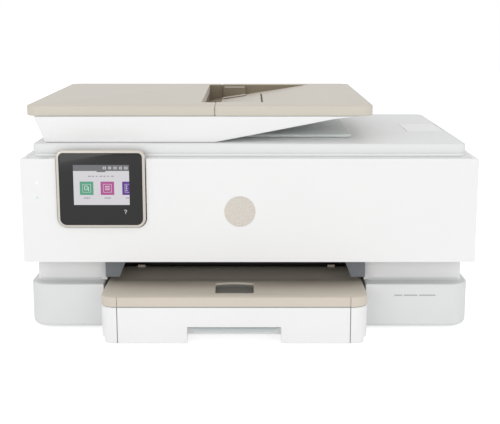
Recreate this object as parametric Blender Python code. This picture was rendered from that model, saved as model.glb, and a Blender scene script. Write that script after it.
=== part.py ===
"""All-in-one inkjet printer with a document feeder, modelled as an assembly of separate pieces.

The printer's own frame has X to the right, Y to the back from the outer face of the front door,
and Z up from the desk. One empty carries that frame, so that the finished model has its origin
under the middle of its bounding box. Every moving group hangs from an empty on its joint's axis.
"""

import math
from dataclasses import dataclass

import bmesh
import bpy
from mathutils import Matrix, Vector

MM = 0.001

# ---- Clearances and walls ----
GAP = 0.3 * MM  # between two pieces that touch
PLAY = 0.6 * MM  # beside a piece that slides or turns
WALL = 2.5 * MM  # moulded shells
SHEET = 2.0 * MM  # steel sheet
REACH = 20 * MM  # how far a cutter sticks out of what it cuts

# ---- Overall plan ----
WIDTH = 460 * MM
DEPTH = 383 * MM
TRAY_REACH = 38 * MM  # the trays stand this far in front of the door
HOUSING_STRIP = 7 * MM  # side housing seen beside the door
LID_INSET = 11 * MM
BASE_INSET = 1.6 * MM
WAIST_INSET = 9 * MM
BASE_SETBACK = 10 * MM
WAIST_SETBACK = 27 * MM
BASE_CORNER = 22 * MM

# ---- Levels, as a stack from the desk up ----
FOOT_HEIGHT = 3 * MM
BASE_HEIGHT = 46 * MM
WAIST_HEIGHT = 26 * MM
DOOR_HEIGHT = 106.3 * MM
BED_RISE = 1.2 * MM  # the glass lies this far above the top of the door
BED_HEIGHT = 32.5 * MM
LID_LIFT = 2.5 * MM  # room for the pad between glass and lid
LID_THICKNESS = 10.5 * MM
ADF_BODY_HEIGHT = 27 * MM
ADF_COVER_THICKNESS = 10.5 * MM

# ---- Front door and touch panel ----
DOOR_DEPTH = 8 * MM
DOOR_AXIS = (6 * MM, 5 * MM)  # behind the face, above the lower edge
DOOR_PIN_RADIUS = 2.2 * MM
PANEL_LEFT = 36.7 * MM  # from the printer's left side
PANEL_WIDTH = 88.8 * MM
PANEL_HEIGHT = 78.6 * MM
PANEL_RISE = 9 * MM  # top of the panel above the door
PANEL_PROUD = 4 * MM
PANEL_DEPTH = 7 * MM
PANEL_CORNER = 6 * MM
PANEL_BEZEL = 2.4 * MM
PANEL_GLASS = 1.5 * MM
PANEL_BULGE = 4 * MM
PANEL_PIN_RADIUS = 1.2 * MM
PANEL_AXIS_DROP = 11.3 * MM  # hinge axis below the top of the panel
PANEL_AXIS_DEPTH = 2.5 * MM
BADGE_RADIUS = 15.8 * MM
BADGE_X = -9.6 * MM
BADGE_LEVEL = 52.6 * MM  # above the door's lower edge
BUTTON_SIZE = (9 * MM, 3.6 * MM, 4.4 * MM)
BUTTON_X = 23.5 * MM  # from the printer's left side

# ---- Trays ----
TRAY_CENTRE = -15.15 * MM
TRAY_WIDTH = 266.7 * MM
TRAY_LENGTH = 301 * MM
TRAY_HEIGHT = 37.5 * MM
TRAY_WALL = 3 * MM
TRAY_FRONT_BOX = 17 * MM
TRAY_CORNER = 14 * MM
TUNNEL_PLAY = 2.6 * MM
HANDLE_WIDTH = 93.6 * MM
HANDLE_HEIGHT = 17.5 * MM
PAPER_WIDTH = 216 * MM
LIP_HEIGHT = 10.2 * MM
LEFT_RAIL = 14 * MM
RIGHT_RAIL = 16 * MM
SLIDE_FLOOR = 2 * MM
TONGUE = 2.5 * MM
FLAT_LENGTH = 80 * MM  # flat top of the output tray, from its front edge
SCOOP_WIDTH = 39.5 * MM
SCOOP_DEPTH = 4 * MM

# ---- Flatbed ----
GLASS_WIDTH = 310 * MM
GLASS_DEPTH = 222 * MM
GLASS_THICKNESS = 2.2 * MM
GLASS_LEDGE = 4 * MM
GLASS_CENTRE = (-13 * MM, 173 * MM)
STRIP_GLASS_X = 42 * MM  # from the printer's left side
STRIP_GLASS_WIDTH = 16 * MM
SCAN_BAR_WIDTH = 22 * MM
SCAN_RAIL_RADIUS = 3 * MM
LID_AXIS_FROM_BACK = 41 * MM
LID_AXIS_RISE = 3.5 * MM  # above the underside of the lid
LID_PIN_RADIUS = 1.8 * MM

# ---- Document feeder ----
ADF_FRONT = 15 * MM
ADF_BACK_INSET = 39 * MM
ADF_COVER_INSET = 4 * MM
ADF_RIGHT = 125.5 * MM
ADF_SEAM_X = -35 * MM
ADF_POCKET_X = -50 * MM
ADF_SLOPE_END = 75 * MM
ADF_SLOPE_DROP = 19 * MM
ADF_RIM = 37 * MM  # front rim beside the pocket
ADF_BACK_RIM = 18 * MM
ADF_CORNER = 12 * MM
ADF_GUIDE_LENGTH = 28 * MM
PICK_RADIUS = 7.5 * MM

# ---- Print engine ----
ROD_RADIUS = 4 * MM
ROD_PLACE = (96 * MM, 120 * MM)  # Y and Z of its axis
CARRIAGE_WIDTH = 68 * MM
CARRIAGE_DEPTH = 68 * MM
CARRIAGE_HEIGHT = 50 * MM
CARTRIDGE_WIDTH = 27.4 * MM
CARTRIDGE_DEPTH = 43.5 * MM
FRAME_BACK = 126 * MM
PULLEY_RADIUS = 8 * MM
BELT_THICKNESS = 1.2 * MM
BELT_WIDTH = 6 * MM
BELT_FRONT = 114 * MM
BELT_LEVEL = 132 * MM
ROLLER_TOP = 83 * MM
FEED_RADIUS = 6 * MM
EXIT_RADIUS = 5 * MM
SHAFT_RADIUS = 3 * MM
GEAR_MODULE = 1 * MM
ROLLER_TEETH = 30
IDLER_TEETH = 40
GEAR_WIDTH = 5 * MM
FEED_Y = 120 * MM
PICKUP_RADIUS = 9 * MM
PICKUP_ARM = 35 * MM


# ---- Derived planes ----
SIDE = WIDTH / 2
BACK = DEPTH - TRAY_REACH
DOOR_SIDE = SIDE - HOUSING_STRIP
LID_SIDE = SIDE - LID_INSET
BASE_SIDE = SIDE - BASE_INSET
WAIST_SIDE = SIDE - WAIST_INSET
BASE_TOP = FOOT_HEIGHT + BASE_HEIGHT
DOOR_BOTTOM = BASE_TOP + WAIST_HEIGHT
DOOR_TOP = DOOR_BOTTOM + DOOR_HEIGHT
DECK_TOP = DOOR_BOTTOM + 3 * MM
GLASS_LEVEL = DOOR_TOP + BED_RISE
BED_BOTTOM = GLASS_LEVEL - BED_HEIGHT
LID_BOTTOM = GLASS_LEVEL + LID_LIFT
LID_TOP = LID_BOTTOM + LID_THICKNESS
ADF_SEAM = LID_TOP + ADF_BODY_HEIGHT
ADF_TOP = ADF_SEAM + ADF_COVER_THICKNESS
ADF_BACK = BACK - ADF_BACK_INSET
ADF_LEFT = -(SIDE - ADF_COVER_INSET)
CASE_BACK = BACK - 3 * MM  # the rear door stands this far proud of the case
WAIST_BACK = CASE_BACK - 10 * MM
TRAY_LEFT = TRAY_CENTRE - TRAY_WIDTH / 2
TRAY_RIGHT = TRAY_CENTRE + TRAY_WIDTH / 2
TUNNEL_LEFT = TRAY_LEFT - TUNNEL_PLAY
TUNNEL_RIGHT = TRAY_RIGHT + TUNNEL_PLAY
TRAY_FRONT = -TRAY_REACH
TRAY_BACK = TRAY_FRONT + TRAY_LENGTH
TRAY_TOP = 0.5 * MM + TRAY_HEIGHT
OUTPUT_BOTTOM = TRAY_TOP + 0.4 * MM
OUTPUT_TOP = TRAY_TOP + LIP_HEIGHT
LID_AXIS_Y = BACK - LID_AXIS_FROM_BACK
LID_AXIS_Z = LID_BOTTOM + LID_AXIS_RISE
PANEL_X0 = -SIDE + PANEL_LEFT
PANEL_X1 = PANEL_X0 + PANEL_WIDTH
PANEL_TOP = DOOR_TOP + PANEL_RISE
PANEL_BOTTOM = PANEL_TOP - PANEL_HEIGHT
PANEL_AXIS_Z = PANEL_TOP - PANEL_AXIS_DROP


# ---- Finishes ----
@dataclass(frozen=True)
class Finish:
    """Colour as sRGB values 0-255, roughness and metallic value of a Principled BSDF."""

    colour: tuple
    roughness: float = 0.5
    metallic: float = 0.0


WHITE = Finish((238, 238, 238), 0.45)
COOL_WHITE = Finish((222, 223, 223), 0.5)
BEIGE = Finish((204, 197, 187), 0.45)
BEZEL = Finish((196, 190, 180), 0.3, 0.4)
TRAY_BEIGE = Finish((193, 184, 172), 0.5)
GREY = Finish((150, 154, 153), 0.5)
SLATE = Finish((112, 116, 121), 0.5)
PALE_GREY = Finish((190, 196, 196), 0.4)
BLACK = Finish((28, 28, 30), 0.5)
GLOSS_BLACK = Finish((20, 20, 22), 0.08)
RUBBER = Finish((45, 45, 46), 0.85)
STEEL = Finish((170, 172, 175), 0.3, 1.0)
GLASS = Finish((196, 206, 206), 0.05)
BOARD = Finish((38, 92, 58), 0.5)
INK_BLUE = Finish((60, 96, 160), 0.4)
FOAM = Finish((246, 246, 244), 0.9)
BED_SIDE = DOOR_SIDE
GLASS_SPAN_X = (GLASS_CENTRE[0] - GLASS_WIDTH / 2, GLASS_CENTRE[0] + GLASS_WIDTH / 2)
GLASS_SPAN_Y = (GLASS_CENTRE[1] - GLASS_DEPTH / 2, GLASS_CENTRE[1] + GLASS_DEPTH / 2)
STRIP_SPAN_X = (-SIDE + STRIP_GLASS_X - STRIP_GLASS_WIDTH / 2, -SIDE + STRIP_GLASS_X + STRIP_GLASS_WIDTH / 2)
SCAN_RAIL = (GLASS_CENTRE[1], BED_BOTTOM + 12 * MM)
HINGE_X = (-SIDE + 75 * MM, SIDE - 95 * MM)
HINGE_HALF = 15 * MM
ARM_HALF = 8.5 * MM


def principled(name, finish):
    """A Principled BSDF material with the finish's values."""
    material = bpy.data.materials.new(name + "_material")
    material.use_nodes = True
    shader = material.node_tree.nodes["Principled BSDF"]
    linear = [((c / 255 + 0.055) / 1.055) ** 2.4 if c > 10 else c / 3294.6 for c in finish.colour]
    shader.inputs["Base Color"].default_value = (*linear, 1.0)
    shader.inputs["Roughness"].default_value = finish.roughness
    shader.inputs["Metallic"].default_value = finish.metallic
    return material


# ---- Bodies: an empty on each joint's axis ----
@dataclass
class Body:
    """A group of pieces that move together, with its empty and the empty's place."""

    place: Vector
    empty: bpy.types.Object


def new_body(name, place=(0, 0, 0), parent=None):
    """An empty at a place in the printer's frame, hung from the parent body's empty."""
    empty = bpy.data.objects.new(name + "_pivot", None)
    bpy.context.collection.objects.link(empty)
    body = Body(Vector(place), empty)
    if parent:
        empty.parent = parent.empty
        empty.location = body.place - parent.place
    return body


def new_object(name, mesh, body):
    """An object whose mesh, given in the printer's frame, hangs from the body's empty."""
    bmesh.ops.translate(mesh, verts=mesh.verts, vec=-body.place)
    data = bpy.data.meshes.new(name)
    mesh.to_mesh(data)
    mesh.free()
    thing = bpy.data.objects.new(name, data)
    bpy.context.collection.objects.link(thing)
    thing.parent = body.empty
    return thing


def piece(name, mesh, body, finish, bevel=0.0, smooth=False):
    """A named sub-part; bevel rounds its sharp edges before anything is cut from it."""
    thing = new_object(name, mesh, body)
    thing.data.materials.append(principled(name, finish))
    if smooth:
        thing.data.shade_smooth()
        thing.data.set_sharp_from_angle(angle=math.radians(35))
    if bevel:
        rounding = thing.modifiers.new("edges", "BEVEL")
        rounding.width = bevel
        rounding.segments = 2
        rounding.limit_method = "ANGLE"
        rounding.angle_limit = math.radians(40)
    return thing


def carve(thing, body, mesh, operation="DIFFERENCE"):
    """Cut a shape from a piece, or join one to it, with a hidden helper object."""
    helper = new_object(thing.name + "_helper", mesh, body)
    helper.hide_render = True
    helper.display_type = "WIRE"
    change = thing.modifiers.new(operation.lower(), "BOOLEAN")
    change.operation = operation
    change.solver = "EXACT"
    change.object = helper


def join(thing, body, mesh):
    """Join a shape to a piece."""
    carve(thing, body, mesh, "UNION")


# ---- Shapes, all in the printer's frame ----
def box(x, y, z):
    """A block between the two values of each pair."""
    mesh = bmesh.new()
    size = Matrix.Diagonal((x[1] - x[0], y[1] - y[0], z[1] - z[0], 1))
    middle = Matrix.Translation((sum(x) / 2, sum(y) / 2, sum(z) / 2))
    bmesh.ops.create_cube(mesh, size=1, matrix=middle @ size)
    return mesh


def on_axis(axis, u, v, w):
    """A point from its two outline values u, v and its place w along the axis."""
    return {"X": (w, u, v), "Y": (u, w, v), "Z": (u, v, w)}[axis]


def prism(axis, outline, ends):
    """An outline, in the plane across the axis, drawn out between two places along the axis."""
    mesh = bmesh.new()
    rings = [[mesh.verts.new(on_axis(axis, u, v, w)) for u, v in outline] for w in ends]
    mesh.faces.new(rings[0])
    mesh.faces.new(rings[1])
    for i in range(len(outline)):
        j = (i + 1) % len(outline)
        mesh.faces.new((rings[0][i], rings[0][j], rings[1][j], rings[1][i]))
    bmesh.ops.recalc_face_normals(mesh, faces=mesh.faces)
    return mesh


def circle(centre, radius, sides=24, start=0.0):
    """Points round a circle."""
    angles = [start + 2 * math.pi * i / sides for i in range(sides)]
    return [(centre[0] + radius * math.cos(a), centre[1] + radius * math.sin(a)) for a in angles]


def rod(axis, centre, radius, ends, sides=24):
    """A round bar along the axis."""
    return prism(axis, circle(centre, radius, sides), ends)


def rounded(u, v, radii, steps=4):
    """A rectangle with corner radii given from low u, low v and on anticlockwise."""
    corners = ((u[0], v[0], 1, 1), (u[1], v[0], -1, 1), (u[1], v[1], -1, -1), (u[0], v[1], 1, -1))
    points = []
    for n, (cu, cv, su, sv) in enumerate(corners):
        radius = radii[n]
        if radius == 0:
            points.append((cu, cv))
            continue
        start = math.pi * (1 + n / 2)
        for i in range(steps + 1):
            angle = start + math.pi / 2 * i / steps
            along_u = cu + su * radius + radius * math.cos(angle)
            along_v = cv + sv * radius + radius * math.sin(angle)
            points.append((along_u, along_v))
    return points


def gear_outline(centre, teeth, start):
    """A spur gear with straight-sided teeth, which leave play on both sides of each tooth."""
    pitch = GEAR_MODULE * teeth / 2
    step = 2 * math.pi / teeth
    shape = ((-0.30, -1.1), (-0.12, 0.85), (0.12, 0.85), (0.30, -1.1))
    points = []
    for n in range(teeth):
        for share, height in shape:
            angle = start + (n + share) * step
            radius = pitch + height * GEAR_MODULE
            points.append((centre[0] + radius * math.cos(angle), centre[1] + radius * math.sin(angle)))
    return points


# ---- Lower case ----
def make_bottom_case(root):
    """The tub under the printer, with the tunnel for the input tray and hollow sides."""
    outline = rounded(
        (-BASE_SIDE, BASE_SIDE), (BASE_SETBACK, WAIST_BACK), (BASE_CORNER, BASE_CORNER, 6 * MM, 6 * MM), 6
    )
    case = piece(
        "bottom_case", prism("Z", outline, (FOOT_HEIGHT, BASE_TOP)), root, COOL_WHITE, 1.2 * MM, True
    )
    floor = FOOT_HEIGHT + WALL
    above = BASE_TOP + REACH
    tunnel_back = TRAY_BACK + 5 * MM
    inner_back = WAIST_BACK - WALL
    carve(case, root, box((TUNNEL_LEFT, TUNNEL_RIGHT), (-REACH, tunnel_back), (floor, above)))
    inner_front = BASE_SETBACK + WALL
    inner_side = BASE_SIDE - WALL
    corner = BASE_CORNER - WALL
    left = rounded((-inner_side, TUNNEL_LEFT - WALL), (inner_front, inner_back), (corner, 0, 0, 4 * MM), 6)
    carve(case, root, prism("Z", left, (floor, above)))
    right = rounded((TUNNEL_RIGHT + WALL, inner_side), (inner_front, inner_back), (0, corner, 4 * MM, 0), 6)
    carve(case, root, prism("Z", right, (floor, above)))
    carve(case, root, box((TUNNEL_LEFT, TUNNEL_RIGHT), (tunnel_back + WALL, inner_back), (floor, above)))


def make_waist_frame(root):
    """The inner frame: two hollow columns, a deck over them and walls up to the scanner bed."""
    top = BED_BOTTOM - GAP
    whole = box((-WAIST_SIDE, WAIST_SIDE), (WAIST_SETBACK, WAIST_BACK), (BASE_TOP + GAP, top))
    frame = piece("waist_frame", whole, root, COOL_WHITE)
    inner = WAIST_SIDE - WALL
    back = WAIST_BACK - WALL
    bay = box((-inner, inner), (-REACH, back), (DECK_TOP, top + REACH))
    carve(frame, root, bay)
    passage_back = TRAY_BACK + 37 * MM
    under = BASE_TOP - REACH
    deck = DOOR_BOTTOM
    carve(frame, root, box((TUNNEL_LEFT, TUNNEL_RIGHT), (-REACH, passage_back), (under, DECK_TOP + 1 * MM)))
    front = WAIST_SETBACK + WALL
    carve(frame, root, box((-inner, TUNNEL_LEFT - 3 * MM), (front, back), (under, deck)))
    carve(frame, root, box((TUNNEL_RIGHT + 3 * MM, inner), (front, back), (under, deck)))
    carve(frame, root, box((TUNNEL_LEFT, TUNNEL_RIGHT), (passage_back + WALL, back), (under, deck)))
    opening = box((REAR_DOOR_X[0], REAR_DOOR_X[1]), (back - REACH, WAIST_BACK + REACH), REAR_OPENING_Z)
    carve(frame, root, opening)
    well = box(
        (TUNNEL_LEFT - 24 * MM, TUNNEL_LEFT - 2 * MM),
        (EXIT_Y - 20 * MM, FEED_Y + 20 * MM),
        (deck - 1 * MM, DECK_TOP + 1 * MM),
    )
    carve(frame, root, well)
    for y, z in (FEED_AXIS, EXIT_AXIS):
        notch = rod("X", (y, z), SHAFT_RADIUS + GAP, (TUNNEL_LEFT - 5 * MM, TUNNEL_RIGHT + 3.5 * MM), 16)
        carve(frame, root, notch)
    for x in ARM_EARS:
        ear = box(
            (x, x + 4 * MM),
            (ARM_AXIS[0] - 6 * MM, passage_back + 1 * MM),
            (ARM_AXIS[1] - 6 * MM, DECK_TOP - 0.5 * MM),
        )
        join(frame, root, ear)
    hole = rod("X", ARM_AXIS, SHAFT_RADIUS + GAP, (ARM_EARS[0] - 1 * MM, ARM_EARS[1] + 5 * MM), 16)
    carve(frame, root, hole)


def make_feet(root):
    """Four rubber feet under the corners of the tub."""
    for row, y in (("front", BASE_SETBACK + 32 * MM), ("rear", WAIST_BACK - 24 * MM)):
        for side, x in (("left", -BASE_SIDE + 34 * MM), ("right", BASE_SIDE - 34 * MM)):
            foot = rod("Z", (x, y), 9 * MM, (0, FOOT_HEIGHT - GAP))
            piece(f"{row}_{side}_foot", foot, root, RUBBER, smooth=True)


def make_side_housings(root):
    """The outer side shells, open towards the inside, beside the door and the scanner bed."""
    for side, name in ((-1, "left"), (1, "right")):
        outer = sorted((side * SIDE, side * (DOOR_SIDE + GAP)))
        shell = box(outer, (0, CASE_BACK), (DOOR_BOTTOM, DOOR_TOP))
        housing = piece(f"{name}_side_housing", shell, root, WHITE, 1 * MM)
        inner = sorted((side * (SIDE - WALL), side * (DOOR_SIDE - REACH)))
        carve(housing, root, box(inner, (WALL, CASE_BACK - WALL), (DOOR_BOTTOM + WALL, DOOR_TOP - WALL)))


def make_rear_cover(root):
    """The back shell with the openings for the rear door and the power inlet."""
    y = (WAIST_BACK + GAP, CASE_BACK)
    shell = box((-DOOR_SIDE, DOOR_SIDE), y, (DOOR_BOTTOM + GAP, BED_BOTTOM - GAP))
    cover = piece("rear_cover", shell, root, WHITE, 0.8 * MM)
    inner = DOOR_SIDE - WALL
    z = (DOOR_BOTTOM + GAP + WALL, BED_BOTTOM - GAP - WALL)
    carve(cover, root, box((-inner, inner), (y[0] - REACH, CASE_BACK - WALL), z))
    carve(cover, root, box(REAR_DOOR_X, (y[0] - REACH, BACK + REACH), REAR_OPENING_Z))
    inlet = box(widened(INLET_X, GAP), (y[0] - REACH, BACK + REACH), widened(INLET_Z, GAP))
    carve(cover, root, inlet)


def widened(pair, margin):
    """A pair of limits moved apart by a margin at both ends."""
    return (pair[0] - margin, pair[1] + margin)


def make_power_inlet(root):
    """The socket in the back that takes the mains lead."""
    y = (WAIST_BACK + 1 * MM, CASE_BACK - 0.5 * MM)
    inlet = piece("power_inlet", box(INLET_X, y, INLET_Z), root, BLACK)
    rim = 2 * MM
    carve(inlet, root, box(widened(INLET_X, -rim), (y[0] + 2 * MM, BACK + REACH), widened(INLET_Z, -rim)))


def make_rear_door(root):
    """The hinged door over the paper path at the back."""
    door = new_body("rear_door", (0, REAR_AXIS[0], REAR_AXIS[1]), root)
    x = widened(REAR_DOOR_X, -PLAY)
    z = widened(REAR_OPENING_Z, -PLAY)
    slab = piece("rear_door", box(x, (BACK - 6 * MM, BACK), z), door, COOL_WHITE, 1 * MM)
    for share in (-1, 1):
        middle = sum(x) / 2 + share * 80 * MM
        grip = box(
            (middle - 12 * MM, middle + 12 * MM),
            (BACK - 2 * MM, BACK + REACH),
            (z[1] - 8 * MM, z[1] - 3 * MM),
        )
        carve(slab, door, grip)


# ---- Places shared by the engine and the case ----
REAR_DOOR_X = (TRAY_CENTRE - 130 * MM, TRAY_CENTRE + 130 * MM)
REAR_OPENING_Z = (DOOR_BOTTOM + 9 * MM, BED_BOTTOM - 10 * MM)
REAR_AXIS = (BACK - 1.5 * MM, REAR_OPENING_Z[0] + 4.2 * MM)
INLET_X = (-SIDE + 38 * MM, -SIDE + 64 * MM)
INLET_Z = (DOOR_BOTTOM + 21 * MM, DOOR_BOTTOM + 39 * MM)
FEED_AXIS = (FEED_Y, ROLLER_TOP - FEED_RADIUS)
GEAR_SPAN = GEAR_MODULE * (ROLLER_TEETH + IDLER_TEETH)
EXIT_Y = FEED_Y - GEAR_SPAN
EXIT_AXIS = (EXIT_Y, ROLLER_TOP - EXIT_RADIUS)
ARM_AXIS = (TRAY_BACK - 13 * MM, TRAY_TOP + 20 * MM)
ARM_EARS = (TRAY_CENTRE - 34 * MM, TRAY_CENTRE + 30 * MM)


# ---- Scanner ----
def make_scanner_bed(root):
    """The scanner's tub, with the glass set in its top."""
    y = (DOOR_DEPTH + 0.5 * MM, CASE_BACK)
    bed = piece("scanner_bed", box((-BED_SIDE, BED_SIDE), y, (BED_BOTTOM, GLASS_LEVEL)), root, WHITE, 1 * MM)
    inner = BED_SIDE - 3 * MM
    top = GLASS_LEVEL - 3.5 * MM
    carve(bed, root, box((-inner, inner), (y[0] + WALL, y[1] - WALL), (BED_BOTTOM + WALL, top)))
    for x, depth in (GLASS_SPAN_X, GLASS_SPAN_Y), (STRIP_SPAN_X, GLASS_SPAN_Y):
        recess = box(
            widened(x, GAP), widened(depth, GAP), (GLASS_LEVEL - GLASS_THICKNESS - GAP, GLASS_LEVEL + REACH)
        )
        carve(bed, root, recess)
        window = box(widened(x, -GLASS_LEDGE), widened(depth, -GLASS_LEDGE), (top - 1 * MM, GLASS_LEVEL))
        carve(bed, root, window)
    level = (GLASS_LEVEL - GLASS_THICKNESS, GLASS_LEVEL)
    piece("flatbed_glass", box(GLASS_SPAN_X, GLASS_SPAN_Y, level), root, GLASS)


def make_scan_bar(root):
    """The scan bar and the rail that it runs along, under the glass."""
    y, z = SCAN_RAIL
    inner = BED_SIDE - 3 * MM - GAP
    piece("scan_rail", rod("X", SCAN_RAIL, SCAN_RAIL_RADIUS, (-inner, inner)), root, STEEL, smooth=True)
    middle = sum(STRIP_SPAN_X) / 2
    x = (middle - SCAN_BAR_WIDTH / 2, middle + SCAN_BAR_WIDTH / 2)
    bar = new_body("scan_bar", (middle, y, z), root)
    block = box(x, widened(GLASS_SPAN_Y, -1 * MM), (BED_BOTTOM + 6 * MM, GLASS_LEVEL - 6 * MM))
    carrier = piece("scan_bar", block, bar, BLACK)
    carve(carrier, bar, rod("X", SCAN_RAIL, SCAN_RAIL_RADIUS + GAP, widened(x, 1 * MM), 20))


def make_lid_hinges(root):
    """Two fixed brackets with cheeks and a pin each, on the back of the scanner bed."""
    for name, x in (("left", HINGE_X[0]), ("right", HINGE_X[1])):
        y = (LID_AXIS_Y - 6.5 * MM, LID_AXIS_Y + 6.5 * MM)
        plate = box((x - HINGE_HALF, x + HINGE_HALF), y, (GLASS_LEVEL + GAP, LID_BOTTOM - 0.5 * MM))
        bracket = piece(f"{name}_lid_hinge", plate, root, GREY)
        for side in (-1, 1):
            ends = sorted((x + side * HINGE_HALF, x + side * (ARM_HALF + PLAY)))
            outline = [(y[0], GLASS_LEVEL + 1 * MM), (y[1], GLASS_LEVEL + 1 * MM), (y[1], LID_AXIS_Z)]
            arc = [math.pi * i / 8 for i in range(1, 9)]
            outline += [
                (LID_AXIS_Y + 6.5 * MM * math.cos(a), LID_AXIS_Z + 6.5 * MM * math.sin(a)) for a in arc
            ]
            join(bracket, root, prism("X", outline, ends))
        pin = rod(
            "X",
            (LID_AXIS_Y, LID_AXIS_Z),
            LID_PIN_RADIUS,
            (x - HINGE_HALF + 1 * MM, x + HINGE_HALF - 1 * MM),
            16,
        )
        join(bracket, root, pin)


def make_lid(lid):
    """The lid with its two hinge arms and the pad that presses paper on the glass."""
    back = LID_AXIS_Y - 14 * MM
    outline = rounded((-LID_SIDE, LID_SIDE), (DOOR_DEPTH, back), (8 * MM,) * 4, 4)
    slab = piece("scanner_lid", prism("Z", outline, (LID_BOTTOM, LID_TOP)), lid, WHITE, 2 * MM, True)
    for x in HINGE_X:
        low = LID_AXIS_Z - 3.7 * MM
        high = LID_AXIS_Z + 3.7 * MM
        arc = [math.pi * (i / 8 - 0.5) for i in range(1, 8)]
        outline = [(back - 4 * MM, low), (LID_AXIS_Y, low)]
        outline += [(LID_AXIS_Y + 3.7 * MM * math.cos(a), LID_AXIS_Z + 3.7 * MM * math.sin(a)) for a in arc]
        outline += [(LID_AXIS_Y, high), (back - 4 * MM, high)]
        join(slab, lid, prism("X", outline, (x - ARM_HALF, x + ARM_HALF)))
        bore = rod(
            "X",
            (LID_AXIS_Y, LID_AXIS_Z),
            LID_PIN_RADIUS + GAP,
            (x - ARM_HALF - 1 * MM, x + ARM_HALF + 1 * MM),
            16,
        )
        carve(slab, lid, bore)
    pocket = box(widened(STOP_X, PLAY), widened(STOP_Y, PLAY), (LID_TOP - 2.5 * MM, LID_TOP + REACH))
    carve(slab, lid, pocket)
    pad = box(
        widened(GLASS_SPAN_X, -3 * MM),
        widened(GLASS_SPAN_Y, -3 * MM),
        (GLASS_LEVEL + 0.5 * MM, LID_BOTTOM - GAP),
    )
    piece("lid_pad", pad, lid, FOAM)


STOP_X = (LID_SIDE - 45 * MM, LID_SIDE - 4 * MM)
STOP_Y = (112 * MM, 182 * MM)


def make_document_stop(lid):
    """The flap in the top of the lid that stops the sheets leaving the feeder."""
    stop = new_body("document_stop", (STOP_X[1] - 1 * MM, sum(STOP_Y) / 2, LID_TOP - 1 * MM), lid)
    piece("document_stop", box(STOP_X, STOP_Y, (LID_TOP - 2 * MM, LID_TOP)), stop, WHITE)


# ---- Document feeder ----
def slope_level(x):
    """Height of the feeder's sloping floor at x."""
    run = ADF_SLOPE_END - ADF_POCKET_X
    return ADF_TOP - ADF_SLOPE_DROP * (ADF_SLOPE_END - x) / run


def slope_place(z):
    """The x at which the feeder's sloping floor reaches the height z."""
    run = ADF_SLOPE_END - ADF_POCKET_X
    return ADF_SLOPE_END - (ADF_TOP - z) * run / ADF_SLOPE_DROP


def make_adf_body(lid):
    """The white housing of the feeder: tapered ends, and a wing with the sheet exit under it."""
    low = LID_TOP + GAP
    left = ADF_LEFT + 8 * MM
    outline = [(left + 11 * MM, low), (ADF_SEAM_X, low), (ADF_RIGHT - 41 * MM, ADF_SEAM - 3.5 * MM)]
    outline += [(ADF_RIGHT - 14 * MM, ADF_SEAM - GAP), (left, ADF_SEAM - GAP)]
    body = piece("adf_body", prism("Y", outline, (ADF_FRONT, ADF_BACK)), lid, WHITE, 1.5 * MM)
    well = box(
        (left + 20 * MM, ADF_POCKET_X - 4 * MM), (60 * MM, ADF_BACK - 42 * MM), (low + 4 * MM, ADF_TOP)
    )
    carve(body, lid, well)
    drop = SLOPE_PLATE + 2 * GAP
    start = ADF_POCKET_X - 2 * MM
    finish = slope_place(ADF_TOP + drop)
    top = ADF_SEAM + REACH
    seat = [
        (start, slope_level(start) - drop),
        (finish, slope_level(finish) - drop),
        (finish, top),
        (start, top),
    ]
    carve(body, lid, prism("Y", seat, widened(POCKET_Y, 0.5 * MM)))


SLOPE_PLATE = 2.5 * MM
POCKET_Y = (ADF_FRONT + ADF_RIM, ADF_BACK - ADF_BACK_RIM)


def make_adf_input_tray(lid):
    """The beige top of the wing, with the pocket whose floor slopes down to the rollers."""
    x = (ADF_SEAM_X + GAP, ADF_RIGHT)
    outline = rounded(x, (ADF_FRONT, ADF_BACK), (0, ADF_CORNER, ADF_CORNER, 0), 5)
    tray = piece("adf_input_tray", prism("Z", outline, (ADF_SEAM, ADF_TOP)), lid, BEIGE, 1 * MM, True)
    top = ADF_TOP + REACH
    start = ADF_POCKET_X - 1 * MM
    pocket = [
        (start - REACH, ADF_SEAM - REACH),
        (start - REACH, top),
        (ADF_SLOPE_END, top),
        (ADF_SLOPE_END, ADF_TOP),
    ]
    edge = slope_place(ADF_SEAM - 1 * MM)
    pocket += [(edge, ADF_SEAM - 1 * MM), (edge, ADF_SEAM - REACH)]
    carve(tray, lid, prism("Y", pocket, POCKET_Y))
    far = slope_place(ADF_SEAM + 4 * MM)
    plate = [(start, slope_level(start) - SLOPE_PLATE), (far, slope_level(far) - SLOPE_PLATE)]
    plate += [(far, slope_level(far) - 0.05 * MM), (start, slope_level(start) - 0.05 * MM)]
    join(tray, lid, prism("Y", plate, POCKET_Y))
    groove = box(
        (14 * MM, 15.4 * MM),
        (POCKET_Y[0] + 6 * MM, POCKET_Y[1] - 40 * MM),
        (slope_level(14 * MM) - 1 * MM, top),
    )
    carve(tray, lid, groove)


def make_adf_cover(lid):
    """The hinged cover over the feeder's rollers."""
    axis = (ADF_LEFT + 2.5 * MM, 0, ADF_SEAM + 3 * MM)
    cover = new_body("adf_cover", axis, lid)
    outline = rounded((ADF_LEFT, ADF_SEAM_X), (ADF_FRONT, ADF_BACK), (ADF_CORNER, 0, 0, ADF_CORNER), 5)
    slab = prism("Z", outline, (ADF_SEAM, ADF_TOP))
    shell = piece("adf_cover", slab, cover, BEIGE, 1 * MM, True)
    notch = box(
        (ADF_POCKET_X, ADF_SEAM_X + REACH), widened(POCKET_Y, 0.5 * MM), (ADF_SEAM - REACH, ADF_TOP + REACH)
    )
    carve(shell, cover, notch)
    hollow = box(
        (ADF_LEFT + 12 * MM, ADF_POCKET_X - 3 * MM),
        (ADF_FRONT + 6 * MM, ADF_BACK - 6 * MM),
        (ADF_SEAM - REACH, ADF_TOP - WALL),
    )
    carve(shell, cover, hollow)


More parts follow.
